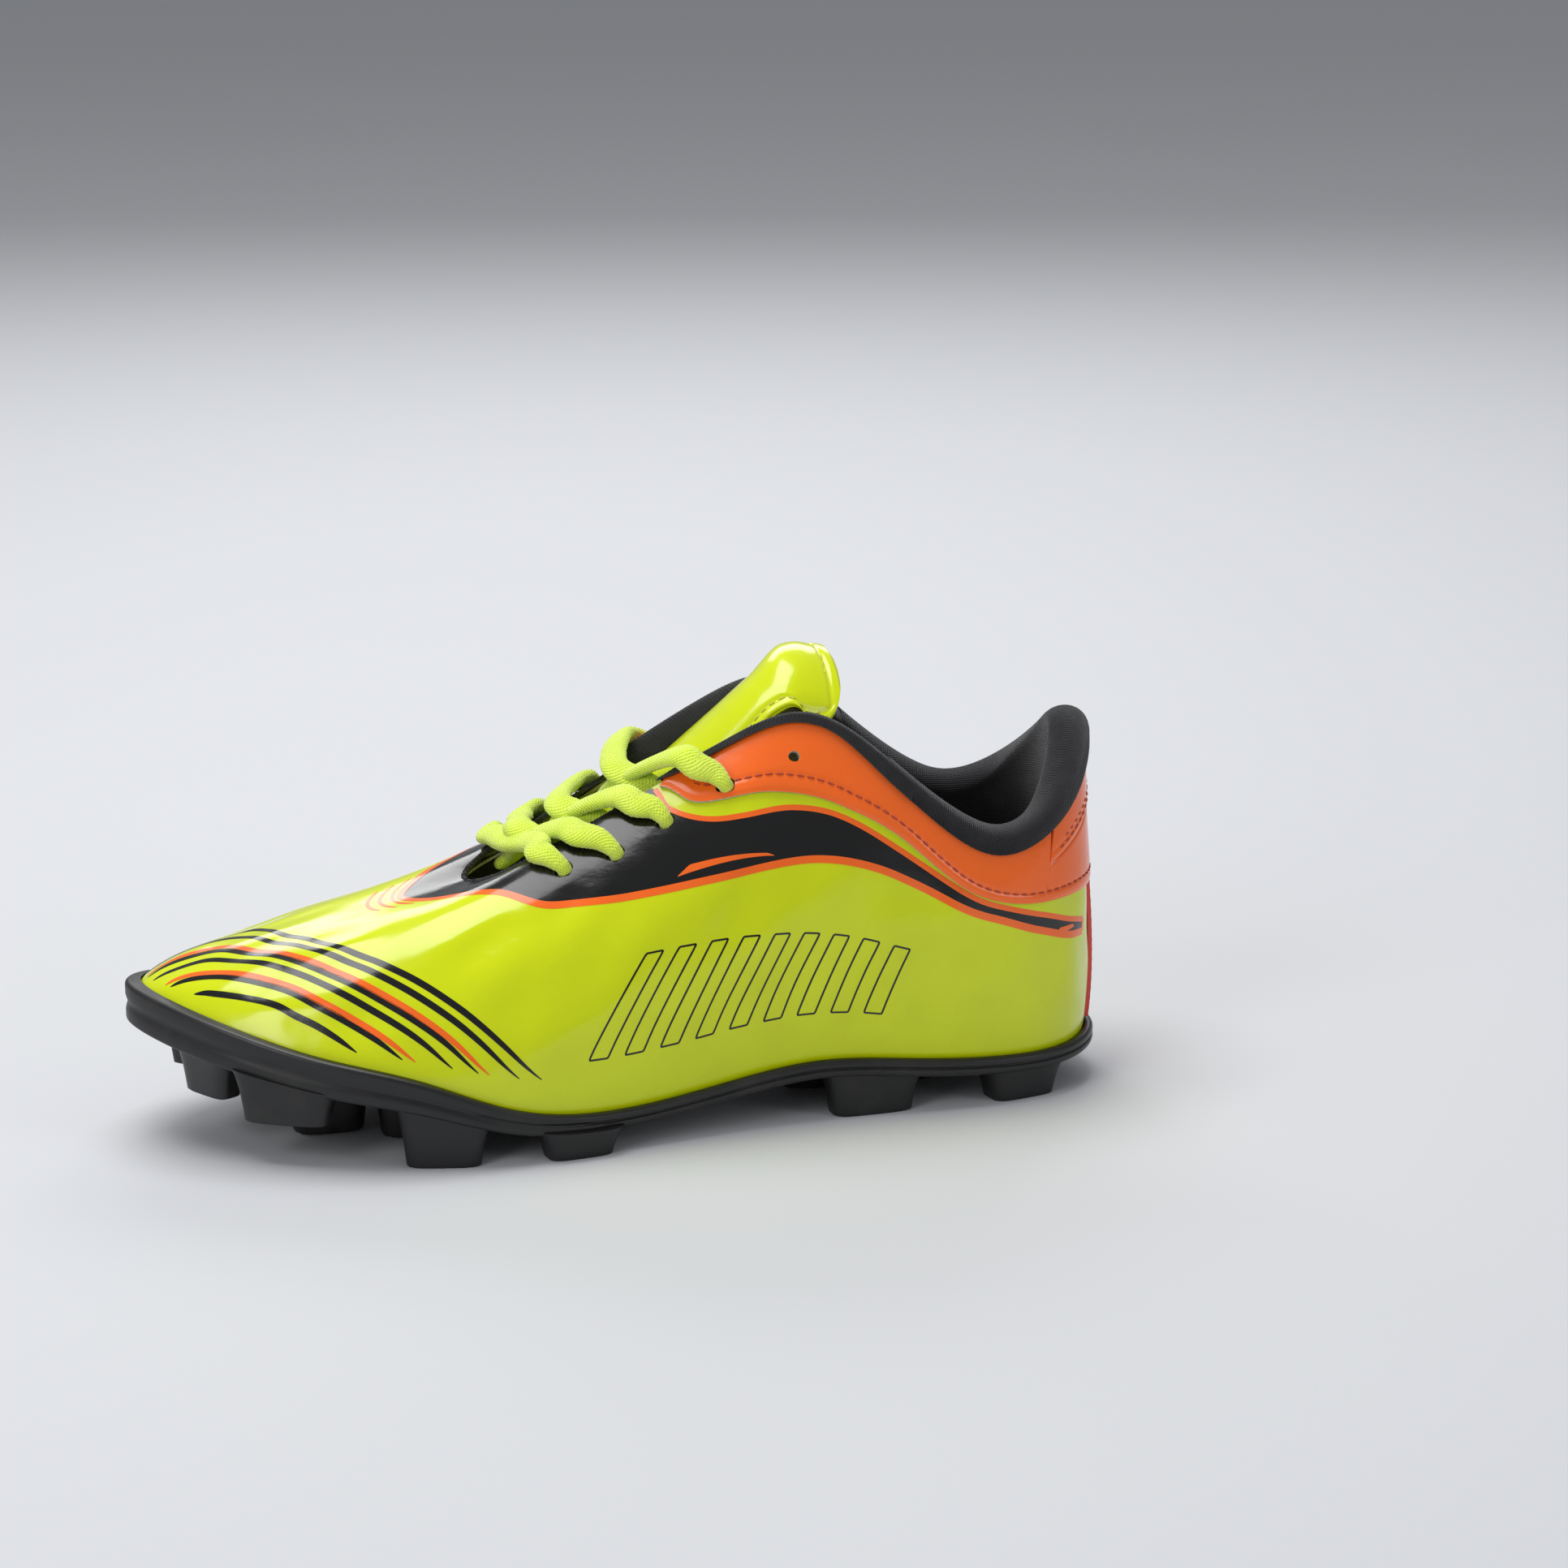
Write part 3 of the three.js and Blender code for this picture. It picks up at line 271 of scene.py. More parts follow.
def put(name, points, faces, materials, kinds=None, uv=None, attributes=None, slot=None,
        body="shoe", replaces=(), crease=40, weld=False):
    """Mesh in metres from points in millimetres, riding on a body. Points no face uses are dropped."""
    used, faces = np.unique(faces, return_inverse=True)
    faces = faces.reshape(-1, 4)
    points = points[used]
    uv = None if uv is None else uv[used]
    attributes = {key: values[used] for key, values in (attributes or {}).items()}
    mesh = bpy.data.meshes.new(name)
    mesh.from_pydata((points * MM).tolist(), [], faces.tolist())
    for finish in materials:
        mesh.materials.append(finish)
    if kinds is not None:
        mesh.polygons.foreach_set("material_index", np.asarray(kinds, np.int32))
    if uv is not None:
        layer_uv = mesh.uv_layers.new(name="metric")
        corner = np.zeros(len(mesh.loops), np.int32)
        mesh.loops.foreach_get("vertex_index", corner)
        layer_uv.data.foreach_set("uv", (uv[corner] * MM).astype(np.float32).ravel())
    for key, values in attributes.items():
        mesh.attributes.new(key, "FLOAT", "POINT").data.foreach_set("value", values.astype(np.float32))
    mesh.polygons.foreach_set("use_smooth", np.ones(len(mesh.polygons), bool))
    mesh.update()
    if weld:
        body_mesh = bmesh.new()
        body_mesh.from_mesh(mesh)
        bmesh.ops.remove_doubles(body_mesh, verts=body_mesh.verts, dist=2e-6)
        bmesh.ops.dissolve_degenerate(body_mesh, edges=body_mesh.edges, dist=2e-6)
        body_mesh.to_mesh(mesh)
        body_mesh.free()
    mesh.set_sharp_from_angle(angle=math.radians(crease))
    piece = bpy.data.objects.new(name, mesh)
    bpy.context.scene.collection.objects.link(piece)
    if body:
        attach(piece, body)
    if replaces:
        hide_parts(*replaces)
    return piece


def joined(parts):
    """Several (points, faces) bodies as one."""
    points, faces, start = [], [], 0
    for p, f in parts:
        points.append(p)
        faces.append(f + start)
        start += len(p)
    return np.concatenate(points), np.concatenate(faces)


def rod(points):
    """Closed body through rows of section points: the faces between rows, and a cap of strips at each end."""
    rows, cols = points.shape[:2]
    strip = np.arange(cols // 2 - 1)
    cap = np.stack([strip, strip + 1, cols - 2 - strip, cols - 1 - strip], 1)
    quads = [grid_quads(rows, cols, False, True), cap[:, ::-1], cap + (rows - 1) * cols]
    flat = points.reshape(-1, 3)
    return flat, outward(flat, np.concatenate(quads))


def dish(rings):
    """Closed body round the shoe: rings of points, of which the first and the last are drawn in to a line."""
    points = np.stack(rings, 1)
    flat = points.reshape(-1, 3)
    return flat, outward(flat, grid_quads(*points.shape[:2], True, False))


def sweep(path, side, up, section):
    """Profile carried along a path: section gives (across, above) for every row, or one for all."""
    section = np.broadcast_to(section, (len(path), *section.shape[-2:]))
    return rod(path[:, None] + side[:, None] * section[..., 0:1] + up[:, None] * section[..., 1:2])


# ---------------------------------------------------------------- finishes
class Number:
    """A number socket written in sums: each operator adds one Math node."""

    def __init__(self, finish, socket):
        self.finish, self.socket = finish, socket

    def math(self, operation, *others):
        return self.finish.node("ShaderNodeMath", [self, *others], operation=operation)

    def __add__(self, other):
        return self.math("ADD", other)

    def __sub__(self, other):
        return self.math("SUBTRACT", other)

    def __rsub__(self, other):
        return (self * -1.0) + other

    def __mul__(self, other):
        return self.math("MULTIPLY", other)

    def __truediv__(self, other):
        return self.math("DIVIDE", other)

    __radd__, __rmul__ = __add__, __mul__

    def ramp(self, low, high):
        """0 below low, 1 above high, smooth between."""
        return self.finish.node("ShaderNodeMapRange", [self, low, high, 0.0, 1.0],
                                interpolation_type="SMOOTHSTEP")


class Finish:
    """One material: a Principled surface whose changing inputs come from node expressions."""

    def __init__(self, name, color, roughness, **constants):
        self.material = bpy.data.materials.new(name)
        self.material.use_nodes = True
        self.tree = self.material.node_tree
        self.surface = next(n for n in self.tree.nodes if n.type == "BSDF_PRINCIPLED")
        self.set("Base Color", color)
        self.set("Roughness", roughness)
        for key, value in constants.items():
            self.surface.inputs[key.replace("_", " ")].default_value = value

    def set(self, name, value):
        socket = self.surface.inputs[name]
        if isinstance(value, Number):
            self.tree.links.new(value.socket, socket)
        elif isinstance(value, tuple):
            socket.default_value = (*value, 1.0)[:4]
        else:
            socket.default_value = value

    def node(self, kind, values=(), output=0, **settings):
        """Any node: settings first, then the values or links of its sockets, by place or name."""
        made = self.tree.nodes.new(kind)
        for key, value in settings.items():
            setattr(made, key, value)
        pairs = values.items() if isinstance(values, dict) else enumerate(values)
        for key, value in pairs:
            socket = made.inputs[key]
            if isinstance(value, Number):
                self.tree.links.new(value.socket, socket)
            elif isinstance(value, tuple) and socket.type == "RGBA":
                socket.default_value = (*value, 1.0)[:4]
            else:
                socket.default_value = value
        return Number(self, made.outputs[output])

    def object_place(self, scale=(1.0, 1.0, 1.0), turn=(0.0, 0.0, 0.0)):
        place = self.node("ShaderNodeTexCoord", output="Object")
        return self.node("ShaderNodeMapping", {"Vector": place, "Rotation": turn, "Scale": scale})

    def metric(self, scale=(1.0, 1.0, 1.0), turn=0.0):
        """The piece's own map, in metres along and across its surface."""
        place = self.node("ShaderNodeUVMap", uv_map="metric")
        return self.node("ShaderNodeMapping", {"Vector": place, "Rotation": (0.0, 0.0, turn), "Scale": scale})

    def noise(self, place, scale, detail=2.0, rough=0.5):
        return self.node("ShaderNodeTexNoise",
                         {"Vector": place, "Scale": scale, "Detail": detail, "Roughness": rough})

    def wave(self, place, scale, distortion=0.0, direction="X"):
        return self.node("ShaderNodeTexWave", {"Vector": place, "Scale": scale, "Distortion": distortion},
                         bands_direction=direction)

    def mix(self, share, a, b):
        """Colour b over colour a."""
        return self.node("ShaderNodeMix", {0: share, 6: a, 7: b}, output=2, data_type="RGBA")

    def attribute(self, name):
        return self.node("ShaderNodeAttribute", attribute_name=name, output=2)

    def bump(self, height, distance, strength=1.0, below=None):
        values = {"Height": height, "Distance": distance, "Strength": strength}
        if below is not None:
            values["Normal"] = below
        return self.node("ShaderNodeBump", values)


YELLOW = (0.66, 0.76, 0.0)
ORANGE = (0.98, 0.15, 0.012)
BLACK = (0.005, 0.005, 0.005)
# The lace's lighter colour is a painted highlight: the tone of brightly lit lace, laid on its raised threads.
NEON_HIGHLIGHT = (0.86, 1.0, 0.16)
CREAM = (0.72, 0.68, 0.50)


def glossy(name, color, roughness=0.16, band=False):
    """Coated sheet: gloss broken by soft dents, a fine orange peel and a faint haze of handling."""
    f = Finish(name, color, roughness, Coat_Weight=0.3, Coat_Roughness=0.07, IOR=1.45)
    place = f.object_place()
    dents = f.noise(place, 55.0, 2.0)
    peel = f.noise(place, 900.0, 2.0)
    haze = f.noise(place, 24.0, 5.0, 0.62)
    cloth = f.noise(f.object_place(scale=(1.0, 1.0, 2.4)), 210.0, 3.0)
    tint = f.mix(haze.ramp(0.42, 0.72) * 0.22, color, tuple(c * 0.72 for c in color))
    if band:
        inside = f.attribute("band").ramp(-0.35, 0.35)
        black = f.mix(haze.ramp(0.5, 0.8) * 0.3, BLACK, (0.02, 0.02, 0.022))
        tint = f.mix(inside, tint, black)
    f.set("Base Color", tint)
    f.set("Roughness", haze.ramp(0.35, 0.75) * 0.16 + roughness * 0.7)
    low = f.bump(dents, 0.0012, 0.35)
    low = f.bump(cloth, 0.0002, 0.25, low)
    f.set("Normal", f.bump(peel, 0.00005, 0.3, low))
    return f.material


def textile(name, color, pitch, lighter, roughness=0.85, depth=0.0003, turn=0.0, sheen=0.3):
    """Woven or knitted cloth: two crossing rows of threads with slightly uneven colour; the lighter colour goes on
    the raised threads, and for the lace it is a painted highlight.
    """
    f = Finish(name, color, roughness, Sheen_Weight=sheen, Sheen_Roughness=0.4, Specular_IOR_Level=0.25)
    place = f.metric(turn=turn)
    rows = f.wave(place, 1.0 / pitch / 2, 0.6, "X")
    columns = f.wave(place, 1.0 / pitch / 2, 0.6, "Y")
    weave = rows * 0.55 + columns * 0.45
    uneven = f.noise(f.object_place(), 160.0, 4.0)
    shade = weave.ramp(0.25, 0.8) * 0.7 + uneven.ramp(0.35, 0.7) * 0.3
    f.set("Base Color", f.mix(shade, color, lighter))
    f.set("Normal", f.bump(weave, depth, 0.7))
    return f.material


def thread(name, color):
    """Twisted sewing thread."""
    f = Finish(name, color, 0.55, Sheen_Weight=0.2)
    twist = f.wave(f.object_place(turn=(0.6, 0.5, 0.7)), 420.0, 1.0)
    f.set("Base Color", f.mix(twist, tuple(c * 0.55 for c in color), color))
    f.set("Normal", f.bump(twist, 0.0002, 0.6))
    return f.material


def rubber(name):
    """Moulded rubber: satin black with fine grain and paler patches of dust spread at random."""
    f = Finish(name, BLACK, 0.45, IOR=1.5)
    place = f.object_place()
    dust = f.noise(place, 38.0, 6.0, 0.65)
    grain = f.noise(place, 1500.0, 2.0)
    flow = f.noise(f.object_place(scale=(0.3, 1.0, 1.0)), 120.0, 3.0)
    f.set("Base Color", f.mix(dust.ramp(0.5, 0.82) * 0.5, (0.0075, 0.0075, 0.008), (0.045, 0.043, 0.04)))
    f.set("Roughness", dust.ramp(0.3, 0.8) * 0.25 + 0.33)
    f.set("Normal", f.bump(grain, 0.00008, 0.35, f.bump(flow, 0.0004, 0.25)))
    return f.material


def cut_core(name, color):
    """Raw cut edge of a coated sheet: pale fibrous backing."""
    f = Finish(name, color, 0.9, Sheen_Weight=0.3)
    fibres = f.noise(f.object_place(), 1400.0, 4.0, 0.7)
    f.set("Base Color", f.mix(fibres.ramp(0.35, 0.7), tuple(c * 0.55 for c in color), color))
    f.set("Normal", f.bump(fibres, 0.0004, 0.8))
    return f.material


def stiff(name, color):
    """Board or stiffener sheet: matt and faintly mottled."""
    f = Finish(name, color, 0.8)
    fibres = f.noise(f.object_place(scale=(1.0, 3.0, 1.0)), 300.0, 5.0, 0.7)
    f.set("Base Color", f.mix(fibres.ramp(0.35, 0.7), tuple(c * 0.75 for c in color), color))
    f.set("Normal", f.bump(fibres, 0.0003, 0.4))
    return f.material


upper_finish = glossy("coated_yellow", YELLOW, 0.16, band=True)
yellow_finish = glossy("tongue_yellow", YELLOW)
orange_finish = glossy("coated_orange", ORANGE, 0.2)
strip_finish = glossy("back_strip_red", (0.86, 0.07, 0.06), 0.25)
black_print = glossy("printed_black", BLACK, 0.16)
orange_print = glossy("printed_orange", ORANGE, 0.18)
core_finish = cut_core("raw_edge", CREAM)
backing_finish = textile("khaki_backing", (0.21, 0.20, 0.06), 0.0009, (0.34, 0.33, 0.12))
lining_finish = textile("woven_lining", (0.42, 0.40, 0.34), 0.0009, (0.66, 0.63, 0.54))
knit_finish = textile("black_knit", (0.007, 0.007, 0.008), 0.0011, (0.03, 0.03, 0.034), 0.9, 0.0005)
tape_finish = textile("black_tape", (0.006, 0.006, 0.007), 0.0007, (0.028, 0.028, 0.03), 0.75, 0.0003)
sock_finish = textile("sock_liner_cloth", (0.008, 0.008, 0.01), 0.0012, (0.035, 0.035, 0.04), 0.95, 0.0004)
# Lace: the neon base with a painted highlight in the lighter colour on its raised threads.
lace_finish = textile("neon_knit", (0.66, 0.88, 0.03), 0.0012, NEON_HIGHLIGHT, 0.8, 0.0005, 0.7, 0.5)
rubber_finish = rubber("black_rubber")
orange_thread = thread("orange_thread", (0.55, 0.06, 0.01))
cream_thread = thread("cream_thread", (0.80, 0.78, 0.10))
black_thread = thread("black_thread", (0.02, 0.02, 0.022))
stiffener_finish = stiff("stiffener_sheet", (0.66, 0.63, 0.55))
board_finish = stiff("fibre_board", (0.48, 0.38, 0.24))

# ---------------------------------------------------------------- eyelets and edges of the upper
EYELET_ROWS = [10.05, 9.2, 8.15, 7.2, 6.05]
MEDIAL_SHIFT = 0.5
EYELET_INSET = 10.6
LACED_ROWS = 4
EYELET_RADIUS = 2.9
SPARE_EYELET_RADIUS = 1.6
PANEL_FRONT = 7.75
PANEL_EDGE = [0.5, 0.545, 0.63, 0.75, 0.825, 0.825, 0.825, 0.855, 0.985, 1, 1, 1, 1]
PANEL_TIP = 7.9
COLLAR_END = 4.5
TAB_HALF = 2
TAB_LOW = 0.79
STRIP_HALF = 0.3


def panel_low(u):
    """Lower edge of a collar panel as a share of height."""
    return np.minimum(graph(list(enumerate(PANEL_EDGE)), mirrored(u)), 1.0)


def row_station(side, row):
    """Station of an eyelet row: side 1 lateral, -1 medial."""
    return EYELET_ROWS[row] if side > 0 else N - EYELET_ROWS[row] - MEDIAL_SHIFT


HOLES = []
for hole_side in (1, -1):
    for hole_row in range(len(EYELET_ROWS)):
        hole_u, hole_v = in_from_edge(row_station(hole_side, hole_row), EYELET_INSET)
        radius = EYELET_RADIUS if hole_row < LACED_ROWS else SPARE_EYELET_RADIUS
        HOLES.append((float(hole_u), float(hole_v), radius))
RING_CELLS = 2
REACH_CELLS = 6


def punch(U, V, closed):
    """Bends a grid of (u, v) round each eyelet until a ring of its points lies on the hole's circle.

    Offsets are turned into millimetres with the surface's own slopes; ring RING_CELLS goes to the
    circle and the change fades out at ring REACH_CELLS. Points inside the ring are marked.
    """
    U, V = U.copy(), V.copy()
    inside = np.zeros(U.shape, bool)
    rows, cols = U.shape
    I, J = np.indices(U.shape)
    for u0, v0, radius in HOLES:
        away = U - u0
        if closed:
            away = (away + N / 2) % N - N / 2
        near = (away * 24) ** 2 + ((V - v0) * 80) ** 2
        i0, j0 = np.unravel_index(np.argmin(near), near.shape)
        if near[i0, j0] > 9 or min(j0, cols - 1 - j0) < RING_CELLS + 1:
            continue
        if not closed and min(i0, rows - 1 - i0) < RING_CELLS + 1:
            continue
        di = I - i0
        if closed:
            di = (di + rows // 2) % rows - rows // 2
        k = np.maximum(abs(di), abs(J - j0))
        h = 0.01
        slopes = np.stack([(face(u0 + h, v0) - face(u0 - h, v0)) / (2 * h),
                           (face(u0, v0 + h) - face(u0, v0 - h)) / (2 * h)], 1)
        _, R = np.linalg.qr(slopes)
        offset = np.stack([away, V - v0], -1) @ R.T
        length = np.maximum(np.linalg.norm(offset, axis=-1, keepdims=True), 1e-6)
        share = np.clip((k - RING_CELLS) / (REACH_CELLS - RING_CELLS), 0, 1)[..., None]
        moved = offset / length * ((1 - share) * radius + share * length)
        change = (moved - offset) @ np.linalg.inv(R).T
        active = (k >= RING_CELLS) & (k <= REACH_CELLS)
        U = np.where(active, U + change[..., 0], U)
        V = np.where(active, V + change[..., 1], V)
        inside |= k <= RING_CELLS
    return U, V, inside


def sheet(name, span, low, high, near, far, materials, rows=110, step=0.05, punched=False, attributes=None,
          dress=None, **where):
    """Sheet over the stations of span, with v running from low(u) to high(u).

    Its two faces are the upper's outer face moved in along the normal by the depths near and far.
    """
    closed = span[1] - span[0] >= N
    count = int(round((span[1] - span[0]) / step)) + 1
    u = np.linspace(span[0], span[1], count)
    if closed:
        u = u[:-1]
    lows, highs = low(u) + 0 * u, high(u) + 0 * u
    V = lows[:, None] + (highs - lows)[:, None] * np.linspace(0, 1, rows + 1)
    U = spread(u, rows + 1)
    inside = None
    if punched:
        U, V, inside = punch(U, V, closed)
    depth = lambda d: d(U, V) if callable(d) else d
    outer, inner = layer(U, V, depth(near)), layer(U, V, depth(far))
    if dress:
        outer = dress(U, V, outer)
    points, faces, kinds = shell(outer, inner, closed, inside)
    across = run_length(outer[:, -1])
    upward = np.linalg.norm(np.diff(outer, axis=1), axis=2).cumsum(1)
    upward = np.concatenate([np.zeros((len(u), 1)), upward], 1)
    flat = np.stack([spread(across, rows + 1), upward], -1).reshape(-1, 2)
    extra = {key: np.tile(value(U, V).ravel(), 2) for key, value in (attributes or {}).items()}
    return put(name, points, faces, materials, kinds, np.tile(flat, (2, 1)), extra, **where)


def flat_low(value):
    """The same share of height at every station."""
    return lambda u: np.full_like(u, value)


# ---------------------------------------------------------------- upper
SHARE_MM, STATION_MM = 88.0, 27.0  # about what a whole share and a whole station measure on the side
# The black band round the throat and back to the heel: (station from the heel, share of height).
BAND_LOW = [(0.95, 0.39), (1.4, 0.43), (2, 0.52), (2.7, 0.64), (3.4, 0.705), (4, 0.71), (4.6, 0.695), (5, 0.68),
            (6, 0.635), (7.2, 0.64), (7.9, 0.657), (8.35, 0.677), (9.5, 0.80), (10.4, 0.865), (11.2, 0.885),
            (12, 0.875)]
BAND_HIGH = [(0.95, 0.43), (1.4, 0.485), (2, 0.58), (2.7, 0.695), (3.4, 0.77), (4.3, 0.795), (5, 0.80),
             (5.6, 0.79), (6.2, 0.777), (6.7, 0.795), (7.5, 0.883), (8.3, 1.02), (12, 1.03)]
BAND_START = 0.95
BAND_STATION_MM = 20.0  # a whole station at the heel


def band_distance(U, V):
    """Signed distance in millimetres into the black band, from the slopes of its two edges."""
    s = mirrored(U)
    low = (V - graph(BAND_LOW, s)) * SHARE_MM
    high = (graph(BAND_HIGH, s) - V) * SHARE_MM
    return np.minimum(np.minimum(low, high), (s - BAND_START) * BAND_STATION_MM)


def upper_top(u):
    """The upper stops under the collar panels, and runs to the edge round the throat."""
    side = mirrored(u)
    return np.where(side > PANEL_FRONT, 1.0, np.minimum(1.0, panel_low(u) + 0.1 + 0.2 * (side / PANEL_FRONT) ** 8))


def settle(U, V):
    """Soft dents of a lasted upper in millimetres: a few long waves that fade at both edges."""
    waves = (np.sin(2 * np.pi * (U * 0.71 + V * 1.3)) * 0.22 + np.sin(2 * np.pi * (U * 1.37 - V * 2.1) + 1.0) * 0.14
             + np.sin(2 * np.pi * (U * 0.29 + V * 3.3) + 2.2) * 0.12)
    return waves * smoothstep(V, 0.08, 0.3) * (1 - smoothstep(V, 0.55, 0.8))


def skin(u, v, lift=0.0):
    """The upper's outer face as it is really lasted, lifted by a distance."""
    return layer(u, v, -np.asarray(settle(u, v) + lift, float))


sheet("upper_shell", (0, N), flat_low(0.0), upper_top, lambda U, V: -settle(U, V), UPPER_SHEET,
      [upper_finish, backing_finish, black_print, core_finish], rows=98, punched=True,
      attributes={"band": band_distance}, slot="upper", replaces=["upper"])

# ---------------------------------------------------------------- collar panels, heel tab, back strip
PANEL_LIFT = -GAP - PANEL_SHEET
PANEL_SHARE_MM = 85
PANEL_SEAM = 3.4  # from the cut edge


def rolled_edge(low, high):
    """Panel face that rounds down over its last millimetre towards the cut edges."""
    def dress(U, V, outer):
        h = np.minimum(V - low(U), high(U) - V) * PANEL_SHARE_MM
        fade = 1 - smoothstep(mirrored(U), 6.3, 7.3)
        sink = 0.35 * (1 - smoothstep(h, 0.0, 1.2)) * (0.3 + 0.7 * fade)
        groove = 0.22 * fade * np.exp(-(((V - low(U)) * PANEL_SHARE_MM - PANEL_SEAM) / 0.7) ** 2)
        return outer - face_normal(U, V) * (sink + groove)[..., None]
    return dress


def panel_high(u):
    return np.where(mirrored(u) <= TAB_HALF, TAB_LOW - 0.008, 1.0)


for side_name, span in (("lateral", (0.32, PANEL_TIP)), ("medial", (N - PANEL_TIP + 0.15, N - 0.32))):
    sheet(f"collar_panel_cover_{side_name}", span, panel_low, panel_high, PANEL_LIFT, -0.1,
          [orange_finish, backing_finish, core_finish, core_finish], rows=44, step=0.04, punched=True,
          dress=rolled_edge(panel_low, panel_high), slot="panel", replaces=[f"collar_panel_{side_name}"])
sheet("heel_tab_cover", (-TAB_HALF, TAB_HALF), flat_low(TAB_LOW - 0.006), flat_low(1.0), PANEL_LIFT - 0.35, -0.1,
      [orange_finish, backing_finish, orange_finish], rows=30, step=0.04,
      dress=rolled_edge(flat_low(TAB_LOW - 0.006), flat_low(1.2)), slot="panel", replaces=["heel_tab"])
STRIP_FOOT, STRIP_SHEET = 1.2, 0.8
sheet("back_strip_cover", (-STRIP_HALF, STRIP_HALF),
      lambda u: share_at_height(u, along(u)[..., 2] + STRIP_FOOT, -GAP),
      flat_low(TAB_LOW - 0.01), -GAP - STRIP_SHEET, -0.1, [strip_finish] * 3, rows=60, step=0.03,
      slot="back_strip", replaces=["back_strip"])

# ---------------------------------------------------------------- inner layers
LAYERS_START = 2 * GAP + UPPER_SHEET + 1.8 + GAP


def layer_foot(depth):
    return lambda u: share_at_height(u, along(u)[..., 3] + LAYERS_START, depth)


LINING_TOP = 0.982
for lining_name, node, span, cloth in (
        ("vamp_lining_cloth", "vamp_lining", (8.5, N - 8.5), lining_finish),
        ("quarter_lining_cloth_lateral", "quarter_lining_lateral", (COLLAR_END + 0.5, 8.46), backing_finish),
        ("quarter_lining_cloth_medial", "quarter_lining_medial", (N - 8.46, N - COLLAR_END - 0.5), backing_finish)):
    sheet(lining_name, span, layer_foot(LINING_BACK), flat_low(LINING_TOP), LINING_DEPTH, LINING_BACK,
          [backing_finish, cloth, cloth, core_finish], rows=70, punched=True, slot="lining",
          replaces=[node])
for node, span in (("eyestay_reinforcement_lateral", (5.5, 10.5)), ("eyestay_reinforcement_medial", (13.5, 18.5))):
    sheet(node.replace("reinforcement", "stiffening"), span, lambda u: share_below_top(u, 21), flat_low(LINING_TOP),
          STIFFENER_DEPTH, STIFFENER_DEPTH + STIFFENER, [backing_finish] * 3 + [core_finish], rows=30,
          punched=True, slot="stiffener", replaces=[node])
for node, span, high in (("toe_puff", (9.5, 14.5), 0.42), ("heel_counter", (-3.5, 3.5), 0.6)):
    sheet(node + "_sheet", span, layer_foot(STIFFENER_DEPTH + STIFFENER), flat_low(high), STIFFENER_DEPTH,
          STIFFENER_DEPTH + STIFFENER, [stiffener_finish] * 3, rows=30, slot="stiffener", replaces=[node])

# ---------------------------------------------------------------- padded collar
ROLL_RISE = 3.4
ROLL_DROP = 4.2
QUILT_DIP = 1.3
KNIT_STATION_MM = 24
SEATING = GAP * 2 + PANEL_SHEET


def foam_thickness(u, v):
    side = np.abs(u)
    fade = 1 - smoothstep(side, 3.2, COLLAR_END + 0.4)
    return COLLAR_FOAM * fade * smoothstep(v, 0.4, 0.85)


def padded_collar():
    """Closed section at every station: up the inside over the foam, over the top edge, down outside, and back.

    The inside swells between a quilted dip below the roll and the foot.
    """
    u = np.linspace(-COLLAR_END, COLLAR_END, 181)
    low = layer_foot(LINING_BACK + COLLAR_KNIT)(u)
    base = STIFFENER_DEPTH + STIFFENER + GAP * 2
    shares = low[:, None] + (0.985 - low)[:, None] * np.linspace(0, 1, 60)
    U = spread(u, shares.shape[1])
    dip = QUILT_DIP * np.exp(-((shares - 0.66) / 0.03) ** 2) * (1 - smoothstep(abs(U), 3.4, 4.4))
    foam = foam_thickness(U, shares)
    skin_side = layer(U, shares, base + foam + COLLAR_KNIT - dip)
    back_side = layer(U, shares, base)
    top = base + foam_thickness(u, np.ones_like(u))
    half, middle = (top + SEATING) / 2, (SEATING - top) / 2
    turns = np.linspace(0.06, 0.97, 20)
    roll_rise = (ROLL_RISE * (0.45 + 0.55 * (1 - smoothstep(abs(u), 3.2, 4.4))))[:, None]

    def roll(extra):
        rise = GAP + (roll_rise + extra) * np.sin(np.pi * turns)
        out = middle[:, None] - (half[:, None] + extra) * np.cos(np.pi * turns)
        return edge_point(spread(u, len(turns)), rise, out)

    drop = np.linspace(0.3, 1, 5) * ROLL_DROP
    many = spread(u, len(drop))
    draw_in = 0.5 * (np.linspace(0, 1, 5) ** 2)
    down = edge_point(many, -drop + 0 * many, SEATING + COLLAR_KNIT - draw_in + 0 * many)
    back_up = edge_point(many, -drop[::-1] + 0 * many, SEATING + 0 * many)
    points = np.concatenate([skin_side, roll(COLLAR_KNIT), down, back_up, roll(0.0)[:, ::-1], back_side[:, ::-1]], 1)
    round_path = np.linalg.norm(np.diff(points, axis=1), axis=2).cumsum(1)
    v_map = np.concatenate([np.zeros((len(u), 1)), round_path], 1)
    u_map = spread(u * KNIT_STATION_MM, v_map.shape[1])
    piece = put("padded_collar", *rod(points), [knit_finish], None, np.stack([u_map, v_map], -1).reshape(-1, 2),
                slot="knit", replaces=["collar_lining", "collar_foam"])


padded_collar()

# ---------------------------------------------------------------- tape over the top line
BINDING = 1.0
OUTER_FOOT, COLLAR_FOOT, INNER_FOOT = 1.7, 2.6, 2.6  # the outer foot is longer by COLLAR_FOOT at the collar
RIB_PITCH, RIB_RISE = 1.15, 0.13
TAPE_MAP = 0.8


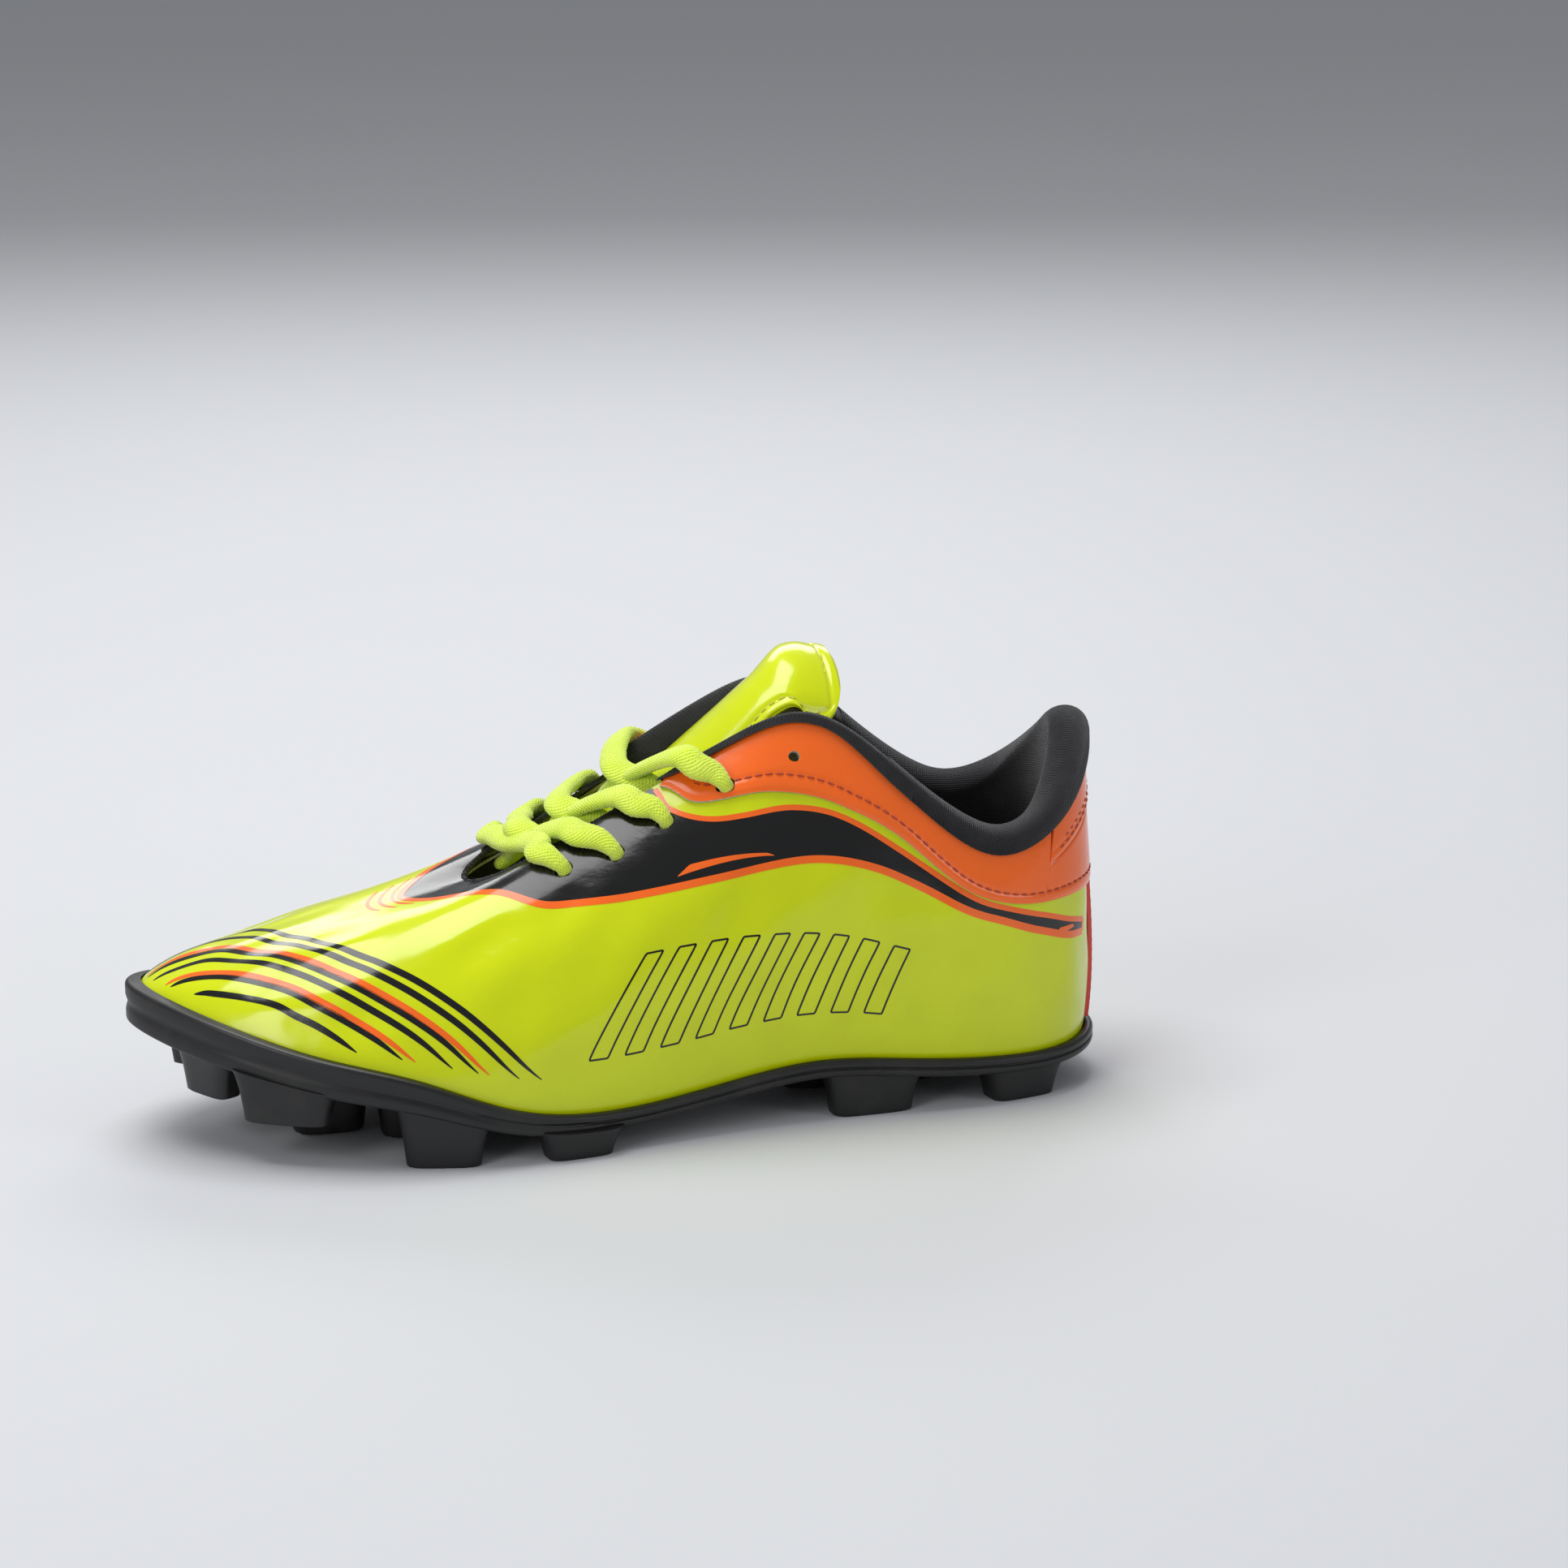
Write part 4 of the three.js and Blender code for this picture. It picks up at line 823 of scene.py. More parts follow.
def topline_tape(name, span, node):
    """Rounded tape folded over the edge: an inverted U section carried along the top line, ribbed across."""
    u = np.linspace(*span, 420)
    span_end = mirrored(u).max()
    turn = np.linspace(0, np.pi, 13)
    side = mirrored(u)[:, None]
    taper = 1 - 0.75 * smoothstep(side, span_end - 0.35, span_end)
    foot = np.linspace(-1, 0, 6)[:-1]
    near_collar = 1 - smoothstep(side, COLLAR_END - 0.2, COLLAR_END + 1.1)
    outer_foot = foot * (OUTER_FOOT + COLLAR_FOOT * near_collar) * taper
    inner_foot = foot[::-1] * INNER_FOOT * taper
    inner_leg, outer_leg = -LINING_BACK - GAP, SEATING
    middle, half = (inner_leg + outer_leg) / 2, (outer_leg - inner_leg) / 2
    distance = run_length(edge_point(u, 0 * u, 0 * u))
    ribs = RIB_RISE * np.abs(np.sin(np.pi * distance / RIB_PITCH))[:, None]

    def ring(extra):
        out = np.concatenate([np.full(5, outer_leg), middle + half * np.cos(turn), np.full(5, inner_leg)])
        up = np.concatenate([outer_foot, GAP + 0.7 * np.sin(turn) + 0 * side, inner_foot], 1)
        away = np.concatenate([np.ones(5), np.cos(turn), -np.ones(5)])
        top = np.concatenate([np.zeros(5), np.sin(turn), np.zeros(5)])
        return edge_point(spread(u, len(out)), up + extra * top, out + extra * away)

    outer = ring(BINDING * taper + ribs)
    inner = ring(0.05)[:, ::-1]
    points = np.concatenate([outer, inner], 1)
    rows, cols = points.shape[:2]
    uv = np.stack([spread(distance, cols), np.tile(np.arange(cols) * TAPE_MAP, (rows, 1))], -1)
    put(name, *rod(points), [tape_finish], None, uv.reshape(-1, 2), slot="binding", replaces=[node])


topline_tape("topline_tape_lateral", (COLLAR_END - 0.35, 8.0), "topline_binding_lateral")
topline_tape("topline_tape_medial", (N - 8.4, N - COLLAR_END + 0.35), "topline_binding_medial")

# ---------------------------------------------------------------- tongue
TONGUE_CURVE = [(-60, 17, 58.5), (-44, 20, 61.5), (-22, 22, 74), (-1, 23, 90), (15, 22, 103),
                (28, 19.5, 114), (38.5, 17.5, 123), (48, 19, 129.5), (64, 22, 127.5)]  # x, half width, z
TONGUE_LEAN = 0.5
TONGUE_BENDS = (30, 22)
TONGUE_MIDDLE = (1.5, 0.2)
TONGUE_DEPTH = 6.3
TONGUE_SEAM = 3.6
TONGUE_RIM = 2.0
TIP_START, TIP_ROUND = 0.88, 2.3  # the tip closes along a curve of this power


def tongue_point(s, across, depth):
    """Place on the tongue: s along its line, across -1 to 1 over its arched width, depth under its face.

    The outline keeps the line's half width and closes in a rounded tip over the last eighth, where the
    tongue leans towards the lateral side.
    """
    s, across, depth = np.broadcast_arrays(s, across, depth)
    flat = np.clip(s.ravel(), 0, 1)
    p = catmull(TONGUE_CURVE, flat)
    t = catmull(TONGUE_CURVE, np.minimum(flat + 1e-4, 1)) - catmull(TONGUE_CURVE, np.maximum(flat - 1e-4, 0))
    p, t = p.reshape(*s.shape, 3), t.reshape(*s.shape, 3)
    normal = unit(np.stack([-t[..., 2], t[..., 0]], -1))
    bend = TONGUE_BENDS[0] + (TONGUE_BENDS[1] - TONGUE_BENDS[0]) * smoothstep(s, 0.4, 0.85)
    tip = (1 - np.clip((s - TIP_START) / 0.12, 0, 1) ** TIP_ROUND * 0.999) ** (1 / TIP_ROUND)
    widen = 1 + 0.10 * smoothstep(s, 0.78, 0.9)
    angle = across * p[..., 1] * tip * widen / bend
    radius = bend - depth
    drop = bend - radius * np.cos(angle)
    middle = TONGUE_MIDDLE[0] + (TONGUE_MIDDLE[1] - TONGUE_MIDDLE[0]) * s
    y = radius * np.sin(angle) + middle
    lean = y * TONGUE_LEAN * smoothstep(s, 0.72, 1)
    return np.stack([p[..., 0] - normal[..., 0] * drop, y, p[..., 2] - normal[..., 1] * drop + lean], -1) + SHIFT


def tongue():
    """Padded tongue: glossy face, stitched-down edges, and a soft knit back that swells between them."""
    tip_steps = TIP_START + 0.12 * np.sin(np.linspace(0, np.pi / 2, 40))[1:]
    s = np.concatenate([np.linspace(0, TIP_START, 150), tip_steps])[:, None]
    across = np.sin(np.linspace(-1, 1, 61) * np.pi / 2)[None, :]
    width = catmull(TONGUE_CURVE, s.ravel())[:, 1][:, None]
    edge = np.minimum((1 - abs(across)) * width, (1 - s) * 125)
    seam = 0.55 * np.exp(-((edge - TONGUE_SEAM) / 0.7) ** 2)
    rounding = 0.9 * (1 - smoothstep(edge, 0, 1.1))
    puff = -0.7 * smoothstep(edge, 4, 9)
    back = TONGUE_RIM + (TONGUE_DEPTH - TONGUE_RIM) * smoothstep(edge, 1.0, 7.5)
    outer = tongue_point(s, across, seam + rounding + puff * 0.5)
    inner = tongue_point(s, across, back - rounding * 0.3)
    points, faces, kinds = shell(outer, inner)
    faces = outward(points, faces)
    uv = np.stack(np.broadcast_arrays(s * 160, across * width), -1).reshape(-1, 2)
    piece = put("tongue", points, faces, [yellow_finish, knit_finish, yellow_finish], kinds, np.tile(uv, (2, 1)),
                slot="tongue_face", body=None, crease=50,
                replaces=["tongue_base_face", "tongue_base_foam", "tongue_base_lining", "tongue_flap_face",
                          "tongue_flap_foam", "tongue_flap_lining"])
    return piece


def bends(piece):
    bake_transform(piece)


bends(tongue())


# ---------------------------------------------------------------- stitching
def stitch_body():
    """One stitch along +X, 1 long: a tube that dips at both ends."""
    t = np.linspace(0, 1, 7)[:, None]
    turn = full_turn(6)[None, :]
    thick = np.sin(np.pi * np.clip(t, 0.04, 0.96)) ** 0.35
    x = (t - 0.5) + 0 * turn
    return np.stack([x, np.cos(turn) * thick, np.sin(turn) * thick + 0 * t], -1)


def stitches(path, normals, length, gap, thickness, dip=0.25):
    """Stitches laid end to end along a path, each turned to the path and the surface."""
    distance = run_length(path)
    middles = np.arange(length / 2, distance[-1] - length / 2, length + gap)
    read = lambda d: np.stack([np.interp(d, distance, path[:, k]) for k in range(3)], -1)
    centre, ahead = read(middles), unit(read(middles + 0.4) - read(middles - 0.4))
    up = unit(np.stack([np.interp(middles, distance, normals[:, k]) for k in range(3)], -1))
    side = unit(np.cross(up, ahead))
    one = stitch_body()
    sag = -dip * (2 * one[..., 0:1]) ** 4
    body = (centre[:, None, None] + ahead[:, None, None] * one[..., 0:1] * length
            + side[:, None, None] * one[..., 1:2] * thickness / 2
            + up[:, None, None] * (one[..., 2:3] * thickness / 2 + sag))
    rows, cols = one.shape[:2]
    quads = grid_quads(rows, cols, False, True)
    flat_one = body[0].reshape(-1, 3)
    ends = np.array([[0, 1, 2, 3], [0, 3, 4, 5]])
    quads = np.concatenate([quads, ends[:, ::-1], ends + (rows - 1) * cols])
    quads = outward(flat_one, quads)
    count = rows * cols
    faces = (quads[None] + (np.arange(len(middles)) * count)[:, None, None]).reshape(-1, 4)
    return body.reshape(-1, 3), faces


def surface_path(u, v, lift):
    """Points over the upper along (u, v), and the surface's normals there."""
    return layer(u, v, -lift), face_normal(u, v)


panel_rows = []
for span in ((0.4, 7.35), (N - 7.85, N - 0.4)):
    u = np.linspace(*span, 300)
    seam_v = panel_low(u) + PANEL_SEAM / PANEL_SHARE_MM
    panel_rows.append(stitches(*surface_path(u, seam_v, GAP + PANEL_SHEET + 0.02), 2.3, 0.7, 0.55))
for v_line in (0.022, 0.05):
    u = np.linspace(-1.85, 1.85, 160)
    panel_rows.append(stitches(*surface_path(u, TAB_LOW + v_line + 0 * u, GAP + PANEL_SHEET + 0.3), 2.3, 0.7, 0.55))
for u_line in (-0.22, 0.22):
    v = np.linspace(0.08, TAB_LOW - 0.03, 120)
    panel_rows.append(stitches(*surface_path(u_line + 0 * v, v, GAP + 0.85), 2.2, 0.8, 0.5))
put("panel_stitching", *joined(panel_rows), [orange_thread], slot="panel")


def tongue_seam():
    """Seam of the tongue: up one side, round the tip and down the other, 3.6 mm inside the edge."""
    up_side = np.linspace(0.12, 0.93, 220)
    round_tip = np.linspace(0, np.pi, 120)
    width = catmull(TONGUE_CURVE, up_side)[:, 1]
    inset = 1 - TONGUE_SEAM / width
    s = np.concatenate([up_side, 0.93 + 0.038 * np.sin(round_tip), up_side[::-1]])
    tip_across = -inset[-1] * np.cos(round_tip)
    across = np.concatenate([-inset, tip_across, inset[::-1]])
    path = tongue_point(s, across, 0.35)
    above = tongue_point(s, across, -0.65)
    return path, unit(above - path)


seam = put("tongue_stitching", *stitches(*tongue_seam(), 2.2, 0.9, 0.6), [cream_thread], slot="tongue_face",
           body=None)
bends(seam)

# ---------------------------------------------------------------- printed lines
PRINT_LIFT, PRINT_SINK = 0.07, 0.15


def print_line(u, v, width, closed=False):
    """Thin closed ribbon lying on the upper along (u, v), its width in millimetres along the line."""
    width = np.broadcast_to(width, u.shape)
    h = 0.01
    du = (face(u + h, v) - face(u - h, v)) / (2 * h)
    dv = (face(u, v + h) - face(u, v - h)) / (2 * h)
    slopes = np.stack([du, dv], -1)
    place = skin(u, v)
    ahead = unit(np.gradient(place, axis=0))
    if closed:
        ahead = unit(np.roll(place, -1, 0) - np.roll(place, 1, 0))
    side = np.cross(face_normal(u, v), ahead)
    step = (np.linalg.pinv(slopes) @ side[..., None])[..., 0]
    across = np.linspace(-0.5, 0.5, 5) * width[:, None]
    U, V = u[:, None] + step[:, 0:1] * across, v[:, None] + step[:, 1:2] * across
    points, faces, _ = shell(skin(U, V, PRINT_LIFT), skin(U, V, -PRINT_SINK), closed)
    return points, outward(points, faces)


def smooth_line(knots, samples=160):
    """Curve through (u, v) knots."""
    dense = catmull(knots, np.linspace(0, 1, samples))
    return dense[:, 0], dense[:, 1]


band_u = np.linspace(BAND_START, N - BAND_START, 900)
lines = [print_line(band_u, graph(BAND_LOW, mirrored(band_u)), 2.2)]
high_u = np.linspace(BAND_START, 8.02, 420)
for u in (high_u, N - high_u):
    lines.append(print_line(u, graph(BAND_HIGH, mirrored(u)), 1.6))
for u in (BAND_START, N - BAND_START):
    v = np.linspace(graph(BAND_LOW, BAND_START), graph(BAND_HIGH, BAND_START), 20)
    lines.append(print_line(np.full(20, u), v, 1.6))
# Short bars across the vamp, in front of the throat.
for v_bar, half in ((0.86, 0.85), (0.835, 0.72), (0.81, 0.6)):
    u = np.linspace(12.1 - half, 12.1 + half, 80)
    t = (u - 12.1) / half
    lines.append(print_line(u, v_bar + 0.004 * t**2, 1.2 * (1 - abs(t) ** 6 * 0.9)))
# Slanted marks in the band, one at each side of the ankle and one at each side of the heel.
BAND_MARKS = (
    (((6.68, 0.66), (5.57, 0.675)), ((6.68, 0.662), (6.56, 0.686), (5.66, 0.683), (5.57, 0.677))),
    (((1.62, 0.455), (1.25, 0.44)), ((1.62, 0.457), (1.57, 0.475), (1.3, 0.455), (1.25, 0.442))))
for mark in BAND_MARKS:
    at = np.linspace(mark[0][0][0], mark[0][-1][0], 60)
    low_v, high_v = (np.interp(-at, [-x for x, _ in edge], [y for _, y in edge]) for edge in mark)
    for u in (at, N - at):
        lines.append(print_line(u, (low_v + high_v) / 2, (high_v - low_v) * SHARE_MM))
put("band_edge_print", *joined(lines), [orange_print], slot="upper")

STRIPE_OUTER = [(12.6, 0.16), (12.75, 0.30), (12.6, 0.50), (11.54, 0.623), (10.42, 0.59), (9.2, 0.482),
                (8.19, 0.36), (7.44, 0.253), (6.9, 0.155)]
STRIPE_INNER = [(10.95, 0.22), (10.85, 0.245), (10.72, 0.26), (10.37, 0.288), (9.93, 0.288), (9.6, 0.26),
                (9.31, 0.235), (9.0, 0.195), (8.74, 0.152)]
STRIPE_SHARES = (0, 0.12, 0.28, 0.34, 0.48, 0.68, 0.75, 1)
STRIPE_ORANGE = (2, 5)
stripes = {False: [], True: []}
for number, share in enumerate(STRIPE_SHARES):
    knots = np.array(STRIPE_OUTER) * (1 - share) + np.array(STRIPE_INNER) * share
    u, v = smooth_line(knots, 320)
    t = np.linspace(-1, 1, 320)
    stripes[number in STRIPE_ORANGE].append(print_line(u, v, 1.7 * (1 - abs(t) ** 5) + 0.25))
put("toe_stripe_print_black", *joined(stripes[False]), [black_print], slot="upper")
put("toe_stripe_print_orange", *joined(stripes[True]), [orange_print], slot="upper")


def outline_figure(centre, corners, width):
    """Thin closed outline on the upper's side round (station, share): corners in millimetres, rounded."""
    corners = np.array(corners, float)
    steps = max(3, 120 // len(corners))
    ends = zip(corners, np.roll(corners, -1, 0))
    path = np.concatenate([np.linspace(a, b, steps, endpoint=False) for a, b in ends])
    for _ in range(2):
        path = (np.roll(path, 1, 0) + path * 2 + np.roll(path, -1, 0)) / 4
    u = centre[0] - path[:, 0] / STATION_MM
    return print_line(u, centre[1] + path[:, 1] / SHARE_MM, width, closed=True)


def bar_corners(wide, tall):
    """Corners of an upright rectangle round (0, 0)."""
    return np.array([(-wide, -tall), (wide, -tall), (wide, tall), (-wide, tall)]) / 2.0


# One even row of plain outlined bars on each side, all alike and standing clear of each other.
BAR_COUNT, BAR_PITCH, BAR_SIZE, BAR_LINE = 9, 9.5, (5.0, 24.0), 0.55
bar_places = (np.arange(BAR_COUNT) - (BAR_COUNT - 1) / 2) * BAR_PITCH
figures = [outline_figure((station, 0.34), bar_corners(*BAR_SIZE) + (place, 0), BAR_LINE)
           for station in (5.0, N - 5.0) for place in bar_places]
put("side_figure_print", *joined(figures), [black_print], slot="upper")

# ---------------------------------------------------------------- throat edge
throat_u = np.linspace(8.62, N - 9.0, 500)
edge_line = edge_point(throat_u, 0.05 + 0.12 * np.sin(throat_u * 55), -0.55 + 0.1 * np.sin(throat_u * 83))
edge_side = unit(face(throat_u, 1.0) - face(throat_u, EDGE_STEP))
turns = full_turn(10)
fray = 0.82 + 0.1 * np.sin(throat_u * 150)[:, None] + 0.06 * np.sin(throat_u * 240)[:, None]
rope = np.stack([np.cos(turns) * fray, np.sin(turns) * fray], -1)
put("throat_edge_thread", *sweep(edge_line, edge_side, face_normal(throat_u, 1.0), rope), [black_thread],
    slot="upper")

# ---------------------------------------------------------------- lace
UNDER = -(LINING_BACK + GAP + 2.1)
OVER = 2.3
CROSS_LOW, CROSS_HIGH = 1.2, 5.2
CROSS_SHARES = (0.24, 0.1, 0.04)
THROAT_UP = np.array([-0.5, 0, 0.87])
LACE_TAIL = ((0.04, 3.4, 0), (0.08, 10, 0.4), (0.12, 18, 1.4), (0.16, 26, 2.2))
LACE_WIDE, LACE_THICK = 8.2, 4.1
LACE_NARROW, LACE_ROUND = 4.3, 3.9


def lace_knot(place, across, wide=LACE_WIDE, thick=LACE_THICK):
    """A point of the lace: its place, the direction of its wide side, its width and thickness."""
    return np.concatenate([place, across, [wide, thick]])


def eyestay_knot(side, row, share, below, height, **size):
    """A place beside the throat, with the direction from row to row there."""
    here = row_station(side, row)
    station = here + (row_station(side, min(row + 1, len(EYELET_ROWS) - 1)) - here) * share
    if below < 0:
        place = edge_point(station, -below, height)
    else:
        place = layer(*in_from_edge(station, below), -height)
    along_edge = face(station - 0.05 * side, 1.0) - face(station + 0.05 * side, 1.0)
    return lace_knot(place, unit(along_edge), **size)


def throat_knot(row, share, height):
    """Middle of the throat between the two eyelets of a row, raised square to the throat."""
    a, b = (eyestay_knot(side, row, share, 0, 0) for side in (1, -1))
    middle = (a + b) / 2
    middle[:3] += THROAT_UP * height
    return middle


def cover(row, at_edge):
    """Thickness lying over the upper at a row: only the last laced row is under a panel."""
    if row < LACED_ROWS - 1:
        return 0.0
    return GAP + PANEL_SHEET + (GAP + 0.9 if at_edge else 0.0)


def through_eyelet(side, row):
    """The narrowed lace above and below the sheets at an eyelet."""
    tight = dict(wide=LACE_NARROW, thick=LACE_ROUND)
    return [eyestay_knot(side, row, 0, EYELET_INSET, height, **tight)
            for height in (cover(row, False) + 0.8, -LINING_BACK - 0.6)]


def lace_crossing(side, row, height):
    """Down through one eyelet, out under the edge, over the throat, and up to the next row's other eyelet."""
    lift, edge_lift = cover(row + 1, False), cover(row + 1, True)
    emerge = 0.1 if row < LACED_ROWS - 2 else -0.08
    return through_eyelet(side, row) + [
        eyestay_knot(side, row, emerge * 0.3, EYELET_INSET - 3.4, UNDER, wide=5.0),
        eyestay_knot(side, row, emerge * 0.7, 3.2, UNDER),
        eyestay_knot(side, row, emerge, -3, UNDER * 0.75),
        throat_knot(row, CROSS_SHARES[row], height),
        eyestay_knot(-side, row, 0.56, -1.5, OVER + edge_lift + 0.5),
        eyestay_knot(-side, row, 0.74, 4, OVER + edge_lift + 0.4),
        eyestay_knot(-side, row, 0.92, EYELET_INSET - 3.2, OVER + lift + 0.2, wide=6.6)]


def lace_half(side):
    """One end of the lace, crossing at every row and ending inside the shoe."""
    knots, start = [], side
    for row in range(LACED_ROWS - 1):
        knots += lace_crossing(start, row, CROSS_HIGH if start > 0 else CROSS_LOW)
        start = -start
    last = LACED_ROWS - 1
    knots += through_eyelet(start, last)
    knots += [eyestay_knot(start, last, share, EYELET_INSET + further, UNDER - deeper, wide=4.4)
              for share, further, deeper in LACE_TAIL]
    return knots


def first_half(side):
    """Half of the lowest bar, from the throat's middle to the first eyelet."""
    return [eyestay_knot(side, 0, -0.04, -1.5, OVER + 0.6), eyestay_knot(side, 0, -0.02, 4, OVER + 0.2),
            eyestay_knot(side, 0, 0, EYELET_INSET - 3.2, OVER + 0.2, wide=6.2)]


LACE_KNOTS = np.array(lace_half(-1)[::-1] + first_half(-1)[::-1] + [throat_knot(0, -0.05, 3)]
                      + first_half(1) + lace_half(1))


def lace():
    """Flat oval knit lace carried along its knots, its wide side kept along the throat."""
    t = np.linspace(0, 1, 1500)
    path = catmull(LACE_KNOTS[:, :3], t)
    knot_at = np.linspace(0, 1, len(LACE_KNOTS))
    read = lambda column: np.interp(t, knot_at, LACE_KNOTS[:, column])
    ahead = unit(np.gradient(path, axis=0))
    across = np.stack([read(k) for k in (3, 4, 5)], -1)
    across = unit(across - ahead * (across * ahead).sum(-1, keepdims=True))
    above = np.cross(ahead, across)
    turn = full_turn(24)
    round_off = lambda a: np.sign(a) * abs(a) ** 0.8
    distance = run_length(path)
    rib = 1 + 0.018 * np.sin(distance * 2 * np.pi / 1.3)[:, None]
    section = np.stack([round_off(np.cos(turn)) * read(6)[:, None] / 2 * rib,
                        round_off(np.sin(turn)) * read(7)[:, None] / 2 * rib], -1)
    points, quads = sweep(path, across, above, section)
    around = np.minimum(np.arange(24), 24 - np.arange(24)) * 0.75
    uv = np.stack([spread(distance, 24), np.tile(around, (len(t), 1))], -1)
    put("lace_knit", points, quads, [lace_finish], None, uv.reshape(-1, 2), slot="lace", replaces=["lace"])


lace()


def aglet_sleeve(name, end, before):
    """Tip sleeve carrying on from a lace end: a tube with rounded ends and a pinched middle."""
    ahead = unit(end - before)
    side = unit(np.cross(ahead, [0.0, 0.0, 1.0]))
    above = np.cross(ahead, side)
    x = np.linspace(0, 20, 41)
    radius = 1.7 * np.sqrt(np.clip(1 - (abs(x - 10) / 10.0) ** 14, 0.05, 1)) * (1 - 0.02 * np.cos(x * 1.9))
    path = end + ahead * (x[:, None] + GAP)
    turn = full_turn(18)
    section = np.stack([np.cos(turn), np.sin(turn)], -1) * radius[:, None, None]
    sides, aboves = (np.broadcast_to(a, path.shape) for a in (side, above))
    put(name, *sweep(path, sides, aboves, section), [aglet_finish],
        slot="aglet", replaces=[name.replace("_sleeve", "")])


aglet_finish = Finish("aglet_film", (0.55, 0.8, 0.05), 0.25, Coat_Weight=0.6).material
aglet_sleeve("aglet_lateral_sleeve", LACE_KNOTS[-1, :3], LACE_KNOTS[-2, :3])
aglet_sleeve("aglet_medial_sleeve", LACE_KNOTS[0, :3], LACE_KNOTS[1, :3])

# ---------------------------------------------------------------- outsole
FLOOR, UNDERSIDE, RIM_TOP = 3, 4, 2  # columns of the last
SPINE_ENDS = (1.2, 10.5)
RIM_FOOT_ROUND, RIM_TOP_ROUND = (2.2, 1.7), 1.3
# The groove round the rim: (share of the rim's height, depth).
RIM_GROOVE = ((0.30, 0.0), (0.40, 0.02), (0.45, 0.25), (0.49, 0.55), (0.53, 0.6), (0.57, 0.3), (0.62, 0.03),
              (0.70, 0.0))


def foot_plan(u):
    """Foot line of the upper, seen from above."""
    return along(u)[..., 0:2] + SHIFT[:2]


def spine(u):
    """Middle line of the floor: the mean of the foot line's two sides at the same station."""
    side = np.clip(mirrored(u), *SPINE_ENDS)
    return (foot_plan(side) + foot_plan(N - side)) / 2


def spine_level(u, column):
    """Height of one of the last's levels at the middle line."""
    side = np.clip(mirrored(u), *SPINE_ENDS)
    return (along(side)[..., column] + along(N - side)[..., column]) / 2


def inset_plan(u, inset):
    """Foot outline moved square to itself; a negative inset lies outside."""
    t = unit(foot_plan(u + 0.01) - foot_plan(u - 0.01))
    return foot_plan(u) + np.stack([t[..., 1], -t[..., 0]], -1) * inset


def raised(plan, z):
    """Places seen from above, put at height z."""
    return np.concatenate([plan, np.asarray(z + 0 * plan[..., 0])[..., None]], -1)


def floor_under(u, plan):
    """Height of the floor at a plan place between the foot line and the spine."""
    middle = spine(u)
    foot = foot_plan(u)
    share = np.linalg.norm(plan - foot, axis=-1) / np.linalg.norm(middle - foot, axis=-1)
    level = along(u)[..., FLOOR]
    return level + (spine_level(u, FLOOR) - level) * share


def toward_spine(u, distance):
    """Place at a distance from the foot line on the way to the middle line."""
    middle = spine(u)
    foot = foot_plan(u)
    return foot + (middle - foot) * (distance / np.linalg.norm(middle - foot, axis=-1))[..., None]


def outsole_plate():
    """Section at each station: underside, rounded rim with a moulded groove, wall against the upper, floor."""
    u = np.linspace(0, N, 481)[:-1]
    row = along(u)
    bottom, top, level = row[:, UNDERSIDE], row[:, RIM_TOP], row[:, FLOOR]
    middle = spine(u)
    reach = np.linalg.norm(foot_plan(u) - middle, axis=-1)
    high = top - bottom
    ring = [raised(middle, spine_level(u, UNDERSIDE) - 0.4)]
    for share in (0.85, 0.65, 0.45, 0.25):
        z = bottom - 0.3 + (spine_level(u, UNDERSIDE) - bottom) * max(0.0, (share - 0.45) / 0.55) ** 1.5
        ring.append(raised(toward_spine(u, reach * share), z))
    bend = np.linspace(0, np.pi / 2, 7)
    for a in bend:
        inset = -RIM_WALL + RIM_FOOT_ROUND[0] * (1 - np.sin(a))
        ring.append(raised(inset_plan(u, inset), bottom - 0.1 + RIM_FOOT_ROUND[1] * (1 - np.cos(a))))
    for share, dip in RIM_GROOVE:
        ring.append(raised(inset_plan(u, -RIM_WALL + dip), bottom + 1.6 + (high - 3.0) * (share - 0.3) / 0.4 * 0.9))
    for a in bend:
        inset = -RIM_WALL + RIM_TOP_ROUND * (1 - np.cos(a))
        ring.append(raised(inset_plan(u, inset), top - RIM_TOP_ROUND + RIM_TOP_ROUND * np.sin(a)))
    rim_share = share_at_height(u, top, -GAP)
    for share in (1, 0.75, 0.5, 0.25, 0):
        wall = layer(u, rim_share * share, -GAP)
        if share == 1:
            wall[:, 2] = top
        if share == 0:
            wall[:, 2] = level
        ring.append(wall)
    for share in (0.45, 0.7):
        ring.append(raised(toward_spine(u, reach * share), level + (spine_level(u, FLOOR) - level) * share))
    ring.append(raised(middle, spine_level(u, FLOOR)))
    return dish(ring)


spine_stations = np.linspace(*SPINE_ENDS, 200)
SPINE_X = spine(spine_stations)[:, 0]
SPINE_Z = spine_level(spine_stations, UNDERSIDE)


def underside_at(x):
    """Height of the plate's underside along the middle line."""
    return np.interp(-x, -SPINE_X, SPINE_Z)


STUD_SWELL = 3.4
STUD_SQUARE = 0.5  # power of the outline: 1 round, 0 square
RIDGE_PITCH, RIDGE_DEPTH = 1.35, 0.8
